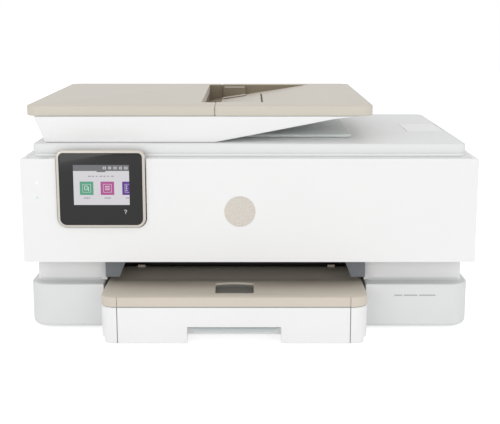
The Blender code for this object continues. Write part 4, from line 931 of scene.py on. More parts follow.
# ---- The case ----
@dataclass
class Case:
    """Base, waist, side housings and rear.

    Attributes:
        edge: Rounding of the moulded edges.
        base_corners: Radii of the base's front and rear corners in plan.
        base_foot: Rounding where the base turns under.
        base_brow: Rounding where its side turns into the shoulder.
        wall: Room between the paper tray and the base beside it.
        cove_radius: Radius of the cove between shoulder and waist.
        vents: How many slots the rear vents have.
        vent_pitch: Distance between the slots.
        vent_slot: Width and height of a slot.
        sockets: Name, left edge, width and height of each data socket.
        socket_lip: Width of a socket's steel collar.
        dashes: Lengths of the plain dashes on the base's front.
    """

    edge: float = 0.9 * MM
    base_corners: Span = (22 * MM, 6 * MM)
    base_foot: float = 4.5 * MM
    base_brow: float = 2.2 * MM
    wall: float = 2.6 * MM
    cove_radius: float = 3 * MM
    vents: int = 10
    vent_pitch: float = 5 * MM
    vent_slot: Span = (1.8 * MM, 22 * MM)
    sockets: tuple = (("usb", 172 * MM, 12 * MM, 11 * MM), ("network", 148 * MM, 15 * MM, 13 * MM))
    socket_lip: float = 0.8 * MM
    dashes: tuple = (8 * MM, 14 * MM, 17 * MM)

    def base(self) -> None:
        """Makes the base: a U round the paper tray, carried up a side with a round foot and brow.

        The line in plan runs round the outer corners and back along the tray's bay, and is moved
        inwards by the side's inset at each level.
        """
        low, high = span("bottom_case")
        tray_low, tray_high = span("input_tray")
        left, right = grown((tray_low[0], tray_high[0]), self.wall)
        inner = tray_high[1] + self.wall
        radii = np.repeat(self.base_corners, 2)
        around = outline((low[0], high[0]), (low[1], high[1]), radii, 0.0, 14)
        start = int(np.argmax((around[:, 0] > right) & (around[:, 1] < low[1] + 0.01 * MM)))
        bay = [(left, low[1]), (left, inner), (right, inner), (right, low[1])]
        plan = np.concatenate([np.roll(around, -start, axis=0), bay])
        side = rounded_profile(low[2], high[2], self.base_foot, self.base_brow, 6)
        base = slab("base_shell", lambda inset: drawn_in(plan, inset), side)
        finish_piece(base, Palette.COOL_WHITE, "case", "bottom_case")

    def cove(self) -> None:
        """Fills the corner between the base's shoulder and the waist with a quarter-round cove."""
        low, high = span("waist_frame")
        shoulder = span("bottom_case")[1][2]
        face, radius = low[1], self.cove_radius
        turn = np.linspace(0.0, QUARTER, 7)
        curve = np.column_stack([face - radius * (1 - np.sin(turn)), shoulder + radius * (1 - np.cos(turn))])
        foot = shoulder - 0.1 * MM
        seat = [(face + 1 * MM, shoulder + radius), (face + 1 * MM, foot), (face - radius, foot)]
        section = np.concatenate([curve, seat])
        ends = {
            "left": (low[0] + 2 * MM, span("left_exit_guide")[0][0]),
            "right": (span("right_exit_guide")[1][0], high[0] - 2 * MM),
        }
        for side, across in ends.items():
            strip = slab(f"{side}_waist_cove", lambda inset: section, [(0.0, x) for x in across], "X")
            finish_piece(strip, Palette.COOL_WHITE, "case")

    def shells(self) -> None:
        """Rounds the edges of the outer shells."""
        soften("waist_shell", "waist_frame", self.edge, Palette.WHITE, "case")
        for node in ("left_side_housing", "right_side_housing", "rear_cover"):
            soften(f"{node}_shell", node, self.edge, Palette.WHITE, "case")
        soften("rear_door_shell", "rear_door", 0.6 * MM, Palette.COOL_WHITE, "rear_door")

    def feet(self) -> None:
        """Turns the four rubber feet, with a rounded lower edge."""
        for node in ("front_left_foot", "front_right_foot", "rear_left_foot", "rear_right_foot"):
            low, high = span(node)
            centre = ((low + high) / 2)[:2]
            radius = (high[0] - low[0]) / 2
            profile = rounded_profile(low[2], high[2], 0.8 * MM, 0.0)
            foot = slab(f"{node}_pad", lambda inset: circle(centre, radius - inset, 40), profile)
            finish_piece(foot, Palette.RUBBER, "case", node)

    def vent_slots(self) -> None:
        """Draws the row of upright vents in the rear cover."""
        low, high = span("rear_cover")
        start = high[0] - 84 * MM
        middle = (low[2] + high[2]) / 2 + 14 * MM
        width, height = self.vent_slot
        z = grown((middle, middle), height / 2)
        lefts = start + np.arange(self.vents) * self.vent_pitch
        slots = [self.back_plate("slot", (x, x + width), z, 0.04 * MM, 0.8 * MM) for x in lefts]
        finish_piece(joined("rear_vents", slots), Palette.BLACK, "case")

    def rear_sockets(self) -> None:
        """Adds the two data sockets and the inlet's pins."""
        low, high = span("rear_cover")
        back, lip = high[1], self.socket_lip
        sill = low[2] + 14 * MM
        seat, proud = back - 0.2 * MM, back + 0.6 * MM
        section = [(0.0, seat), (0.0, proud), (lip, proud), (lip, seat)]
        for name, left, width, height in self.sockets:
            x, z = (left, left + width), (sill, sill + height)
            collar = rim(f"{name}_socket_collar", rectangle(x, z, 1.2 * MM, 4), section, "Y")
            finish_piece(collar, Palette.STEEL, "case")
            x, z = grown(x, -lip), grown(z, -lip)
            mouth = self.back_plate(f"{name}_socket_mouth", x, z, 0.1 * MM, 0.5 * MM)
            finish_piece(mouth, Palette.BLACK, "case")
        inlet_low, inlet_high = span("power_inlet")
        centre = (inlet_low + inlet_high) / 2
        depths = (inlet_low[1] + 2 * MM, inlet_high[1] - 1.2 * MM)
        for number, x in ((1, centre[0] - 4.2 * MM), (2, centre[0] + 4.2 * MM)):
            path = np.array([(x, y, centre[2]) for y in depths])
            finish_piece(tube(f"inlet_pin_{number}", path, 1.1 * MM, 16), Palette.STEEL, "case")

    def back_plate(self, name: str, x: Span, z: Span, proud: float, radius: float) -> Thing:
        """A thin plate on the rear cover's outside."""
        back = span("rear_cover")[1][1]
        return slab(name, rectangle(x, z, radius, 4), [(0.0, back - 0.2 * MM), (0.0, back + proud)], "Y")

    def front_mark(self) -> None:
        """Prints a row of three plain dashes high on the base's right front."""
        low, high = span("bottom_case")
        start = high[0] - 78 * MM
        level = high[2] - 12.6 * MM
        lines = []
        for length in self.dashes:
            lines.append(plate((start, start + length), (level, level + 1.1 * MM), low[1], 0.03 * MM))
            start += length + 1.8 * MM
        finish_piece(joined("base_front_mark", lines), Palette.DASH, "case")

    def screws(self) -> None:
        """Puts a screw in each corner of the rear cover, and four under the base between the feet."""
        low, high = span("rear_cover")
        corners = [(x, high[1] - 0.3 * MM, z) for x in grown((low[0], high[0]), -8 * MM)
                   for z in grown((low[2], high[2]), -8 * MM)]
        Screws().build("rear_screws", corners, "Y", 1.0, "case")
        low, high = span("bottom_case")
        corners = [(x, y, low[2] + 0.3 * MM) for x in grown((low[0], high[0]), -60 * MM)
                   for y in grown((low[1], high[1]), -20 * MM)]
        Screws().build("base_screws", corners, "Z", -1.0, "case")

    def build(self) -> None:
        """Makes the whole case."""
        self.base()
        self.cove()
        self.shells()
        self.feet()
        self.vent_slots()
        self.rear_sockets()
        self.screws()
        self.front_mark()
        dress(Palette.BLACK, "power_inlet")


# ---- The flatbed ----
@dataclass
class Flatbed:
    """Scanner bed, its glasses and the scan bar beneath.

    Attributes:
        edge: Rounding of the bed's edges.
        strip: Left edge and width of the narrow glass, from the printer's left side.
        frame_line: Width of the printed border round the glass.
        mark: Corners of the start mark, from the glass's rear right corner.
    """

    edge: float = 0.7 * MM
    strip: Span = (34 * MM, 16 * MM)
    frame_line: float = 3 * MM
    mark: tuple = ((4 * MM, 4 * MM), (11 * MM, 6 * MM), (6 * MM, 11 * MM))

    def glasses(self) -> None:
        """Lays the narrow glass beside the large one, and the printed border and start mark."""
        low, high = span("flatbed_glass")
        level = high[2]
        left = CAD_BOX[0][0] + self.strip[0]
        line = rectangle((left, left + self.strip[1]), (low[1] + 6 * MM, high[1] - 6 * MM), 1.5 * MM, 5)
        profile = [(0.0, level - 0.2 * MM), (0.0, level + 0.1 * MM), (0.3 * MM, level + 0.25 * MM)]
        finish_piece(slab("strip_glass", line, profile), Palette.GLOSS_BLACK, "case")
        line = rectangle((low[0], high[0]), (low[1], high[1]), 2 * MM, 5)
        section = [(-self.frame_line, level - 0.1 * MM), (-self.frame_line, level + 0.12 * MM),
                   (0.0, level + 0.12 * MM), (0.0, level - 0.1 * MM)]
        finish_piece(rim("glass_border", line, section), Palette.GREY, "case")
        tip = high[:2] + np.array(self.mark)
        profile = [(0.0, level - 0.1 * MM), (0.0, level + 0.08 * MM)]
        mark = slab("start_corner_mark", lambda inset: tip, profile)
        finish_piece(mark, Palette.SLATE, "case")

    def build(self) -> None:
        """Makes the bed and dresses what lies in it."""
        soften("scanner_bed_shell", "scanner_bed", self.edge, Palette.LID_WHITE, "case")
        self.glasses()
        dress(Palette.CLEAR, "flatbed_glass")
        dress(Palette.BLACK, "scan_bar")
        dress(Palette.STEEL, "scan_rail")
        for node in ("left_lid_hinge", "right_lid_hinge"):
            soften(f"{node}_arm", node, 0.4 * MM, Palette.GREY, "case", 2)
        low, high = span("scan_bar")
        middle = (low[0] + high[0]) / 2
        line = rectangle(grown((middle, middle), 4 * MM), grown((low[1], high[1]), -6 * MM), 1.5 * MM, 4)
        profile = [(0.0, high[2] - 0.2 * MM), (0.0, high[2] + 0.2 * MM), (0.4 * MM, high[2] + 0.4 * MM)]
        finish_piece(slab("scan_bar_lens", line, profile), Palette.CLEAR, "scan_bar")


# ---- The lid ----
@dataclass
class Lid:
    """Scanner lid with its foam pad and the stop that folds out for finished sheets.

    Attributes:
        edge: Rounding of the lid's edges.
        setback: How far the skirt stands back from the lid's faces.
        skirt: Thickness of the skirt.
    """

    edge: float = 0.9 * MM
    setback: float = 1.2 * MM
    skirt: float = 1.5 * MM

    def lower_edge(self) -> None:
        """Closes the lid's lower edge with a thin skirt, set back from its face all round."""
        low, high = span("scanner_lid")
        foot = span("scanner_bed")[1][2] + 0.35 * MM
        head = low[2] + 0.5 * MM
        near, far = self.setback, self.setback + self.skirt
        line = rectangle((low[0], high[0]), (low[1], high[1] - 4 * MM), 8 * MM, 12)
        skirt = rim("lid_skirt", line, [(near, foot), (near, head), (far, head), (far, foot)])
        finish_piece(skirt, Palette.WHITE, "lid")

    def build(self) -> None:
        """Makes the lid."""
        self.lower_edge()
        soften("scanner_lid_shell", "scanner_lid", self.edge, Palette.LID_WHITE, "lid")
        soften("document_stop_flap", "document_stop", 0.4 * MM, Palette.WHITE, "document_stop", 2)
        dress(Palette.FOAM, "lid_pad")


# ---- The document feeder ----
@dataclass
class Feeder:
    """Feeder body, cover, sheet tray, guides and pick roller.

    Attributes:
        edge: Rounding of the beige edges.
        slit: The slit in the floor: X of its middle, width.
        drop: How far the sloping floor falls from the right to the pocket.
        reach: Where the slope starts, from the feeder's right end.
        margin: Room between the guides and the pocket's walls.
    """

    edge: float = 1.2 * MM
    slit: Span = (14 * MM, 1.4 * MM)
    drop: float = 19 * MM
    reach: float = 50.5 * MM
    margin: float = 2.4 * MM

    def floor_level(self, x: np.ndarray) -> np.ndarray:
        """Height of the sloping floor, which falls evenly to the left over the drop."""
        low, high = span("adf_input_tray")
        start = high[0] - self.reach
        end = low[0] + 1 * MM
        return high[2] - self.drop * np.clip((start - x) / (start - end), 0.0, 1.0)

    def lining(self, name: str, finish: Palette, x: np.ndarray, y: np.ndarray, levels: Span) -> None:
        """Lays a thin sheet on the sloping floor, its underside and top at levels from it."""
        low, high = levels
        top, under = [lambda a, b, up=up: self.floor_level(a) + up for up in (high, low)]
        finish_piece(sheet(name, top, x, y, under), finish, "lid")

    def pocket_shade(self) -> None:
        """Lines the pocket with painted shade: darker beige sheets on the floor under the pick roller and on
        the rear and end wall, and the dark slit.
        """
        low, high = span("adf_input_tray")
        y_low = span("adf_front_guide")[0][1] - self.margin
        y_high = span("adf_rear_guide")[1][1] + self.margin
        start = low[0] + 1.2 * MM
        x, y = np.linspace(start, low[0] + 17 * MM, 12), np.linspace(y_low, y_high, 24)
        self.lining("pocket_floor", Palette.POCKET_SHADE, x, y, (-0.6 * MM, 0.12 * MM))
        across = np.linspace(start, high[0] - self.reach - 6 * MM, 30)
        bottom = np.stack([across, self.floor_level(across) + 0.2 * MM], axis=-1)
        wall = np.concatenate([bottom, [(x, high[2] - 0.7 * MM) for x in across[[-1, 0]]]])
        back = y_high + 0.2 * MM
        shade_liner = slab("pocket_rear_wall", lambda inset: wall, [(0.0, back + 0.4 * MM), (0.0, back)], "Y")
        finish_piece(shade_liner, Palette.POCKET_SHADE, "lid")
        line = rectangle((y_low, y_high), (low[2] + 0.6 * MM, high[2] - 11.5 * MM))
        end = slab("pocket_end_wall", line, [(0.0, low[0] + 0.6 * MM), (0.0, low[0] + 1.1 * MM)], "X")
        finish_piece(end, Palette.POCKET_SHADE, "lid")
        middle, width = self.slit
        x = np.linspace(middle - width / 2, middle + width / 2, 3)
        y = np.linspace(y_low - 9 * MM, y_high - 26 * MM, 3)
        self.lining("pocket_slit", Palette.SEAM, x, y, (-0.3 * MM, 0.06 * MM))

    def guide_rails(self) -> None:
        """Lays a round bead along the foot and the crown of the rear guide."""
        low, high = span("adf_rear_guide")
        y = low[1] - 0.5 * MM
        foot = self.floor_level(np.array([low[0], high[0]])) + 1.4 * MM
        crown = high[2] - 0.2 * MM
        beads = {
            "foot": (0.8 * MM, [(low[0], y, foot[0]), (high[0], y, foot[1])]),
            "crown": (0.6 * MM, [(low[0] + 2 * MM, y, crown), (high[0] - 1 * MM, y, crown)]),
        }
        for name, (radius, path) in beads.items():
            bead = tube(f"adf_rear_guide_{name}", np.array(path), radius, 8)
            finish_piece(bead, Palette.BEIGE, "adf_rear_guide")

    def build(self) -> None:
        """Makes the feeder."""
        self.pocket_shade()
        self.guide_rails()
        soften("adf_body_shell", "adf_body", 0.7 * MM, Palette.WHITE, "lid")
        soften("adf_cover_shell", "adf_cover", self.edge, Palette.BEIGE, "adf_cover")
        soften("adf_input_tray_shell", "adf_input_tray", self.edge, Palette.BEIGE, "lid")
        # The guides' fences take the darker pocket beige as painted shade.
        for guide in ("adf_front_guide", "adf_rear_guide"):
            soften(f"{guide}_fence", guide, 0.5 * MM, Palette.POCKET_SHADE, guide, 2)
        soften("adf_output_plate_ribs", "adf_output_plate", 0.4 * MM, Palette.PLATE_GREY, "lid", 2)
        dress(Palette.RUBBER, "adf_pick_roller")


# ---- The front door ----
@dataclass
class FrontDoor:
    """Front door with its badge, lamps and power button.

    Attributes:
        edge: Rounding of the door's edges.
        lamp_x: X of the two lamps from the printer's left side.
        lamp_levels: Z of the lamps from the door's foot.
        lamp_radius: Radius of a lamp.
        panel_room: From the panel's glass to the notch's edge.
        notch_corner: Radius of the notch's lower corners.
        badge_brow: Rounding of the badge's rim.
    """

    edge: float = 0.6 * MM
    lamp_x: float = 16.4 * MM
    lamp_levels: Span = (82.3 * MM, 67.0 * MM)
    lamp_radius: float = 1.0 * MM
    panel_room: float = 3.6 * MM
    notch_corner: float = 10 * MM
    badge_brow: float = 0.4 * MM

    def skin(self) -> None:
        """Lays the front skin from side to side, with the notch for the panel, round at its foot."""
        low, high = span("front_door")
        panel_low, panel_high = span("panel_glass")
        left, right = grown((panel_low[0], panel_high[0]), self.panel_room)
        radius = self.notch_corner
        centre = panel_low[2] - self.panel_room + radius
        turn = np.linspace(0.0, QUARTER, 10)
        arc = radius * np.stack([np.cos(turn), -np.sin(turn)], axis=-1)
        side = CAD_BOX[1][0]
        shape = np.concatenate([
            [(-side, low[2]), (side, low[2]), (side, high[2]), (right, high[2])],
            np.array([right - radius, centre]) + arc,
            np.array([left + radius, centre]) + arc[::-1] * np.array([-1.0, 1.0]),
            [(left, high[2]), (-side, high[2])],
        ])
        profile = [(0.0, low[1] + 0.2 * MM), (0.0, low[1] - 0.2 * MM), (0.15 * MM, low[1] - 0.35 * MM)]
        made = slab("front_door_skin", lambda inset: drawn_in(shape, inset), profile, "Y")
        finish_piece(made, Palette.WHITE, "front_door")

    def badge(self) -> None:
        """Turns the plain round badge: a flat face, a fine step and a rounded rim."""
        low, high = span("badge")
        centre = ((low + high) / 2)[[0, 2]]
        radius = (high[0] - low[0]) / 2
        face = span("front_door")[0][1] - 0.7 * MM
        brow = rounded_profile(-high[1], -face, 0.0, self.badge_brow, 4)
        step = [(1.4 * MM, face), (1.7 * MM, face + 0.18 * MM)]
        profile = [(inset, -level) for inset, level in brow] + step
        disc = slab("badge_disc", lambda inset: circle(centre, radius - inset, 72), profile, "Y", 25.0)
        finish_piece(disc, Palette.BADGE, "front_door", "badge")

    def lamps(self) -> None:
        """Sets the two small lamps in the door's left end."""
        low = span("front_door")[0]
        x = CAD_BOX[0][0] + self.lamp_x
        profile = [(0.0, low[1] - 0.1 * MM), (0.0, low[1] - 0.4 * MM), (0.3 * MM, low[1] - 0.5 * MM)]
        for finish, level in zip((Palette.LAMP_WHITE, Palette.LAMP_GREEN), self.lamp_levels):
            centre = (x, low[2] + level)
            line = lambda inset: circle(centre, self.lamp_radius - inset, 20)
            finish_piece(slab(finish.name.lower(), line, profile, "Y"), finish, "front_door")

    def button(self) -> None:
        """Makes the power button as an oblong key with a rounded brow."""
        low, high = span("power_button")
        radius = min((high - low)[:2]) / 2 - 0.05 * MM
        profile = rounded_profile(low[2], high[2], 0.0, 0.6 * MM)
        key = slab("power_key", rectangle((low[0], high[0]), (low[1], high[1]), radius, 8), profile)
        finish_piece(key, Palette.PALE_GREY, "power_button", "power_button")

    def build(self) -> None:
        """Makes the door and what it carries."""
        soften("front_door_shell", "front_door", self.edge, Palette.WHITE, "front_door")
        self.skin()
        self.badge()
        self.lamps()
        self.button()


# ---- The touch panel ----
@dataclass
class TouchPanel:
    """Tilting panel: bezel, black glass and the lit picture on it.

    Places in the picture are given from its left edge, and down from its top edge.

    Attributes:
        inset: Distance of the picture from the glass's left, right, bottom and top edge.
        bar: Height of the status bar.
        tile: Side of a tile.
        tile_edge: From a tile's edge to its thin inner frame.
        tile_lefts: Left edges of the three tiles.
        tile_drop: Top of the tiles.
        layer: Height of one printed layer.
        bezel: Width of the bezel.
        bezel_corners: Its outer radii, from the lower left round to the upper left.
        axis_drop: From the panel's top down to its hinge axis.
        axis_depth: From the panel's face back to the axis.
        parts: Printed pieces by finish.
        face: Y of the glass's front.
        x: Left and right of the picture.
        z: Bottom and top of the picture.
    """

    inset: tuple = (14.4 * MM, 13.1 * MM, 20.7 * MM, 11.9 * MM)
    bar: float = 6.1 * MM
    tile: float = 13.6 * MM
    tile_edge: float = 2.6 * MM
    tile_lefts: tuple = (6.3 * MM, 27.1 * MM, 48.8 * MM)
    tile_drop: float = 16.8 * MM
    layer: float = 0.02 * MM
    bezel: float = 2.7 * MM
    bezel_corners: tuple = (9.3 * MM, 9.3 * MM, 7.2 * MM, 7.2 * MM)
    axis_drop: float = 11.3 * MM
    axis_depth: float = 6.5 * MM
    parts: dict = field(default_factory=dict)
    face: float = field(init=False)
    x: Span = field(init=False)
    z: Span = field(init=False)

    def housing(self) -> None:
        """Makes the bezel with its large lower corners, the box behind it and the two hinge pins."""
        low, high = span("panel_housing")
        glass_low, glass_high = span("panel_glass")
        x = grown((glass_low[0], glass_high[0]), self.bezel)
        z = grown((glass_low[2], glass_high[2]), self.bezel)
        front = low[1]
        seat = glass_high[1] + 0.1 * MM
        back = front + 5 * MM
        around = rectangle(x, z, self.bezel_corners, 10)
        width = self.bezel - 0.1 * MM
        section = [(0.0, seat), (0.0, front + 0.8 * MM), (0.25 * MM, front + 0.25 * MM), (0.8 * MM, front),
                   (width, front), (width, seat)]
        behind = rectangle(grown(x, -4 * MM), (z[0] + 5 * MM, z[1] - 8.5 * MM), 2 * MM, 4)
        depths = [(0.0, back), (0.0, high[1] - 0.6 * MM), (0.6 * MM, high[1])]
        parts = [slab("body", around, [(0.0, back), (0.0, seat)], "Y"), rim("ring", around, section, "Y"),
                 slab("box", behind, depths, "Y")]
        axis = (front + self.axis_depth, z[1] - self.axis_drop)
        for ends in ((low[0], x[0] + 1 * MM), (x[1] - 1 * MM, high[0])):
            parts.append(tube("pin", np.array([(end, *axis) for end in ends]), 1.1 * MM, 14))
        finish_piece(joined("panel_bezel", parts), Palette.BEZEL, "touch_panel", "panel_housing")

    def glass(self) -> None:
        """Makes the glass as a thin plate with round corners and a ground edge."""
        low, high = span("panel_glass")
        left, right, bottom, top = self.inset
        self.face = low[1]
        self.x = (low[0] + left, high[0] - right)
        self.z = (low[2] + bottom, high[2] - top)
        brow = rounded_profile(0.0, high[1] - low[1], 0.0, 0.5 * MM)
        profile = [(inset, high[1] - level) for inset, level in brow]
        radii = [radius - self.bezel for radius in self.bezel_corners]
        line = rectangle((low[0], high[0]), (low[2], high[2]), radii, 10)
        pane = slab("panel_glass_pane", line, profile, "Y")
        finish_piece(pane, Palette.GLOSS_BLACK, "touch_panel", "panel_glass")

    def put(self, finish: Palette, x: Span, down: Span, layer: int, radius: float = 0.0) -> None:
        """Prints a rectangle on the picture.

        Args:
            finish: Its colour.
            x: Left and right.
            down: Top and bottom.
            layer: Which printed layer it lies in.
            radius: Radius of its corners.
        """
        across = (self.x[0] + x[0], min(self.x[0] + x[1], self.x[1]))
        z = (self.z[1] - down[1], self.z[1] - down[0])
        part = plate(across, z, self.face, self.layer * layer, radius)
        self.parts.setdefault(finish, []).append(part)

    def hoop(self, centre: Span, radius: float, width: float, layer: int) -> None:
        """Prints a ring round a point."""
        middle = (self.x[0] + centre[0], self.z[1] - centre[1])
        level = self.face - self.layer * layer
        section = [(0.0, self.face), (0.0, level), (width, level), (width, self.face)]
        part = rim("part", lambda inset: circle(middle, radius - inset, 24), section, "Y")
        self.parts.setdefault(Palette.MARK, []).append(part)

    def frame_line(self, x: Span, down: Span, width: float, layer: int) -> None:
        """Prints the outline of a rectangle as four bars, of which the picture's edge may cut the last."""
        head, foot = (down[0], down[0] + width), (down[1] - width, down[1])
        bars = [(x, head), (x, foot), ((x[0], x[0] + width), down)]
        if self.x[0] + x[1] < self.x[1]:
            bars.append(((x[1] - width, x[1]), down))
        for bar_x, bar_down in bars:
            self.put(Palette.MARK, bar_x, bar_down, layer)

    def picture(self) -> None:
        """Prints the start page: status bar, three tiles with plain signs, and label lines."""
        width = self.x[1] - self.x[0]
        bar = self.bar
        self.put(Palette.SCREEN, (0.0, width), (bar, self.z[1] - self.z[0]), 1)
        self.put(Palette.SCREEN_BAR, (0.0, width), (0.0, bar), 1)
        handle = grown((width / 2, width / 2), 4.5 * MM)
        self.put(Palette.SCREEN_BAR, handle, (bar, bar + 1.1 * MM), 2, 0.5 * MM)
        for number in range(5):
            x = width - 3 * MM - number * 5.4 * MM
            if number % 2:
                self.hoop((x, bar / 2), 1.3 * MM, 0.45 * MM, 2)
            else:
                self.frame_line(grown((x, x), 1.4 * MM), grown((bar / 2, bar / 2), 1.1 * MM), 0.4 * MM, 2)
        for number in range(7):
            x = width / 2 - 13 * MM + number * 3.8 * MM
            self.put(Palette.LABEL, (x, x + (2.8 - number % 3 * 0.5) * MM), (11 * MM, 11.7 * MM), 2)
        for finish, left in zip((Palette.GREEN, Palette.PINK, Palette.PURPLE), self.tile_lefts):
            self.tile_at(finish, left)

    def tile_at(self, finish: Palette, left: float) -> None:
        """Prints one tile with a thin inner frame, a plain sign and a label line."""
        top, foot = self.tile_drop, self.tile_drop + self.tile
        self.put(finish, (left, left + self.tile), (top, foot), 2, 0.4 * MM)
        inner = grown((left, left + self.tile), -self.tile_edge)
        down = grown((top, foot), -self.tile_edge)
        self.frame_line(inner, down, 0.25 * MM, 3)
        start, drop = inner[0], down[0]
        if finish == Palette.GREEN:
            sheet_down = (drop + 1.6 * MM, down[1] - 2.4 * MM)
            self.frame_line((start + 2 * MM, start + 5 * MM), sheet_down, 0.4 * MM, 3)
            side_down = (drop + 2.6 * MM, down[1] - 1.4 * MM)
            self.put(Palette.MARK, (start + 5.8 * MM, start + 6.3 * MM), side_down, 3)
        elif finish == Palette.PINK:
            for level in (drop + (2 + 1.7 * row) * MM for row in range(3)):
                self.put(Palette.MARK, grown(inner, -1.8 * MM), (level, level + 0.5 * MM), 3)
        else:
            for level in (drop + (2 + 2.2 * row) * MM for row in range(3)):
                self.hoop((start + 1.7 * MM, level), 0.7 * MM, 0.35 * MM, 3)
        for x in (left + (3.8 + 1.6 * number) * MM for number in range(4)):
            if self.x[0] + x + 1.2 * MM < self.x[1]:
                self.put(Palette.LABEL, (x, x + 1.2 * MM), (foot + 2.6 * MM, foot + 3.6 * MM), 2)

    def help_sign(self) -> None:
        """Prints the sign for help below the picture: three quarters of a ring, a stem and a dot."""
        width, radius = 0.45 * MM, 1.3 * MM
        x, z = self.x[1] - 4.3 * MM, self.z[0] - 6.2 * MM
        angle = np.linspace(math.pi, -QUARTER, 14)
        wheel = np.stack([np.cos(angle), np.sin(angle)], axis=-1)
        hook = np.array([x, z]) + np.concatenate([(radius - width) * wheel, radius * wheel[::-1]])
        profile = [(0.0, self.face + 0.02 * MM), (0.0, self.face - 0.03 * MM)]
        signs = [slab("part", lambda inset: hook, profile, "Y")]
        for foot, head in ((2.2 * MM, 0.9 * MM), (3.2 * MM, 2.7 * MM)):
            signs.append(plate(grown((x, x), width / 2), (z - foot, z - head), self.face, 0.03 * MM))
        self.parts.setdefault(Palette.MARK, []).extend(signs)

    def build(self) -> None:
        """Makes the panel."""
        self.housing()
        self.glass()
        self.picture()
        self.help_sign()
        for finish, parts in self.parts.items():
            finish_piece(joined(finish.value.name, parts), finish, "touch_panel")


# ---- The paper trays ----
def smoothstep(share: np.ndarray) -> np.ndarray:
    """Rises from 0 to 1 with level ends: s * s * (3 - 2 * s)."""
    return share * share * (3 - 2 * share)


@dataclass
class PaperTrays:
    """Input tray with its guides, and output tray with extender and paper stop.

    Attributes:
        corner: Radius of the front corners in plan.
        seam: Width of the seams in the white front.
        lip: Thickness of the extender's front lip.
        skin: Thickness of the plate that closes the output tray's top.
        flat: Length of the level part of the top.
        rise: Height of the ramp behind it.
        run: Length of the ramp.
        scoop_corner: Radii of the finger opening, front and back.
        scoop_bow: How far its back edge arches.
        scoop_front: Front of the opening from the tray's front.
        scoop_depth: Length of the opening at its sides.
        dish: How far the paper stop's top falls to the back.
        grip: Height, depth and thickness of the front's grip, and how far its ends rise.
        guide_width: Width of a sheet guide at its head and foot.
        low: Lowest corner of the output tray.
        high: Its highest corner.
        plate_low: Lowest corner of the extender's plate.
        plate_high: Its highest corner.
        top: Level of the extender's top.
        front: Y of the tray's front.
        crease: Y where the level part ends.
        stop_x: Left and right of the paper stop.
    """

    corner: float = 15 * MM
    seam: float = 0.7 * MM
    lip: float = 1.9 * MM
    skin: float = 1.1 * MM
    flat: float = 68 * MM
    rise: float = 3.9 * MM
    run: float = 40 * MM
    scoop_corner: Span = (2.4 * MM, 2.4 * MM)
    scoop_bow: float = 4.0 * MM
    scoop_front: float = 16.6 * MM
    scoop_depth: float = 33 * MM
    dish: float = 1.7 * MM
    grip: tuple = (4.6 * MM, 6 * MM, 1.4 * MM, 4.0 * MM)
    guide_width: Span = (22.5 * MM, 14.5 * MM)
    low: np.ndarray = field(init=False)
    high: np.ndarray = field(init=False)
    plate_low: np.ndarray = field(init=False)
    plate_high: np.ndarray = field(init=False)
    top: float = field(init=False)
    front: float = field(init=False)
    crease: float = field(init=False)
    stop_x: Span = field(init=False)

    def __post_init__(self) -> None:
        """Reads the places that the tray's pieces share."""
        self.low, self.high = span("output_tray")
        low, high = span("tray_extender")
        self.plate_low = low + np.array([2.6 * MM, 0.0, 0.0])
        self.plate_high = high - np.array([1.4 * MM, 0.0, 0.0])
        self.top = high[2]
        self.front = self.low[1]
        self.crease = self.front + self.flat
        stop_low, stop_high = span("paper_stop")
        self.stop_x = (stop_low[0], stop_high[0])

    def scoop_shade(self, margin: float) -> np.ndarray:
        """The finger opening: round front corners, straight sides and an arched back.

        The back edge is moved by bow * (1 - u * u), where u runs from -1 to 1 across.
        """
        x = grown(self.stop_x, margin)
        front = self.front + self.scoop_front
        y = grown((front, front + self.scoop_depth), margin)
        line = outline(x, y, np.repeat(self.scoop_corner, 2), 0.0, 6, 9)
        across = (line[:, 0] - sum(x) / 2) / ((x[1] - x[0]) / 2)
        along = np.clip((line[:, 1] - y[0]) / (y[1] - y[0]), 0.0, 1.0)
        line[:, 1] += self.scoop_bow * (1 - across ** 2) * along ** 4
        return line

    def rails(self) -> None:
        """Makes the output tray's two rails with round front corners, its floor and the dark gap under it."""
        y = (self.front, self.high[1])
        small = 0.3 * MM
        side = rounded_profile(self.low[2], self.top, small, 1.0 * MM)
        between = (self.plate_low[0], self.plate_high[0])
        inner = grown(between, small)
        left = rectangle((self.low[0], inner[0]), y, (self.corner, small, small, small), 10)
        right = rectangle((inner[1], self.high[0]), y, (small, self.corner, small, small), 10)
        plan = rectangle(grown(between, 1 * MM), (y[0] + self.lip + 0.4 * MM, y[1]))
        floor = slab("floor", plan, [(0.0, self.low[2]), (0.0, self.plate_low[2] - small)])
        rails = [slab("rail", left, side), slab("rail", right, side), floor]
        finish_piece(joined("output_tray_rails", rails), Palette.TRAY_BEIGE, "case")
        plan = rectangle((self.low[0], self.high[0]), y, (self.corner, self.corner, 0.0, 0.0), 10)
        levels = (span("input_tray")[1][2] + 0.05 * MM, self.low[2] - 0.03 * MM)
        gap = slab("tray_gap_shadow", plan, [(0.45 * MM, level) for level in levels])
        finish_piece(gap, Palette.SEAM, "case")

    def cover(self) -> None:
        """Makes the tray's level top with the finger opening, and the bead behind the opening."""
        edge = 1.6 * MM
        x = grown((self.low[0], self.high[0]), -edge)
        y = (self.front + self.lip + 0.15 * MM, self.crease + 0.2 * MM)
        radii = (self.corner - edge, self.corner - edge, 0.5 * MM, 0.5 * MM)
        levels = (self.top - self.skin, self.top + 0.05 * MM)
        outer = outline(x, y, radii, 0.0, 6, 9)
        skin_piece = holed_plate("output_tray_top", outer, self.scoop_shade(0.3 * MM), levels, 0.3 * MM)
        finish_piece(skin_piece, Palette.TRAY_BEIGE, "case")
        self.ramp(x)
        back = self.scoop_shade(1.5 * MM)
        arch = back[back[:, 1] > back[:, 1].max() - self.scoop_bow - 0.6 * MM]
        path = stand(arch[np.argsort(arch[:, 0])], self.top + 0.1 * MM, "Z")
        finish_piece(tube("scoop_back_lip", path, 0.5 * MM, 8), Palette.BEIGE, "case")

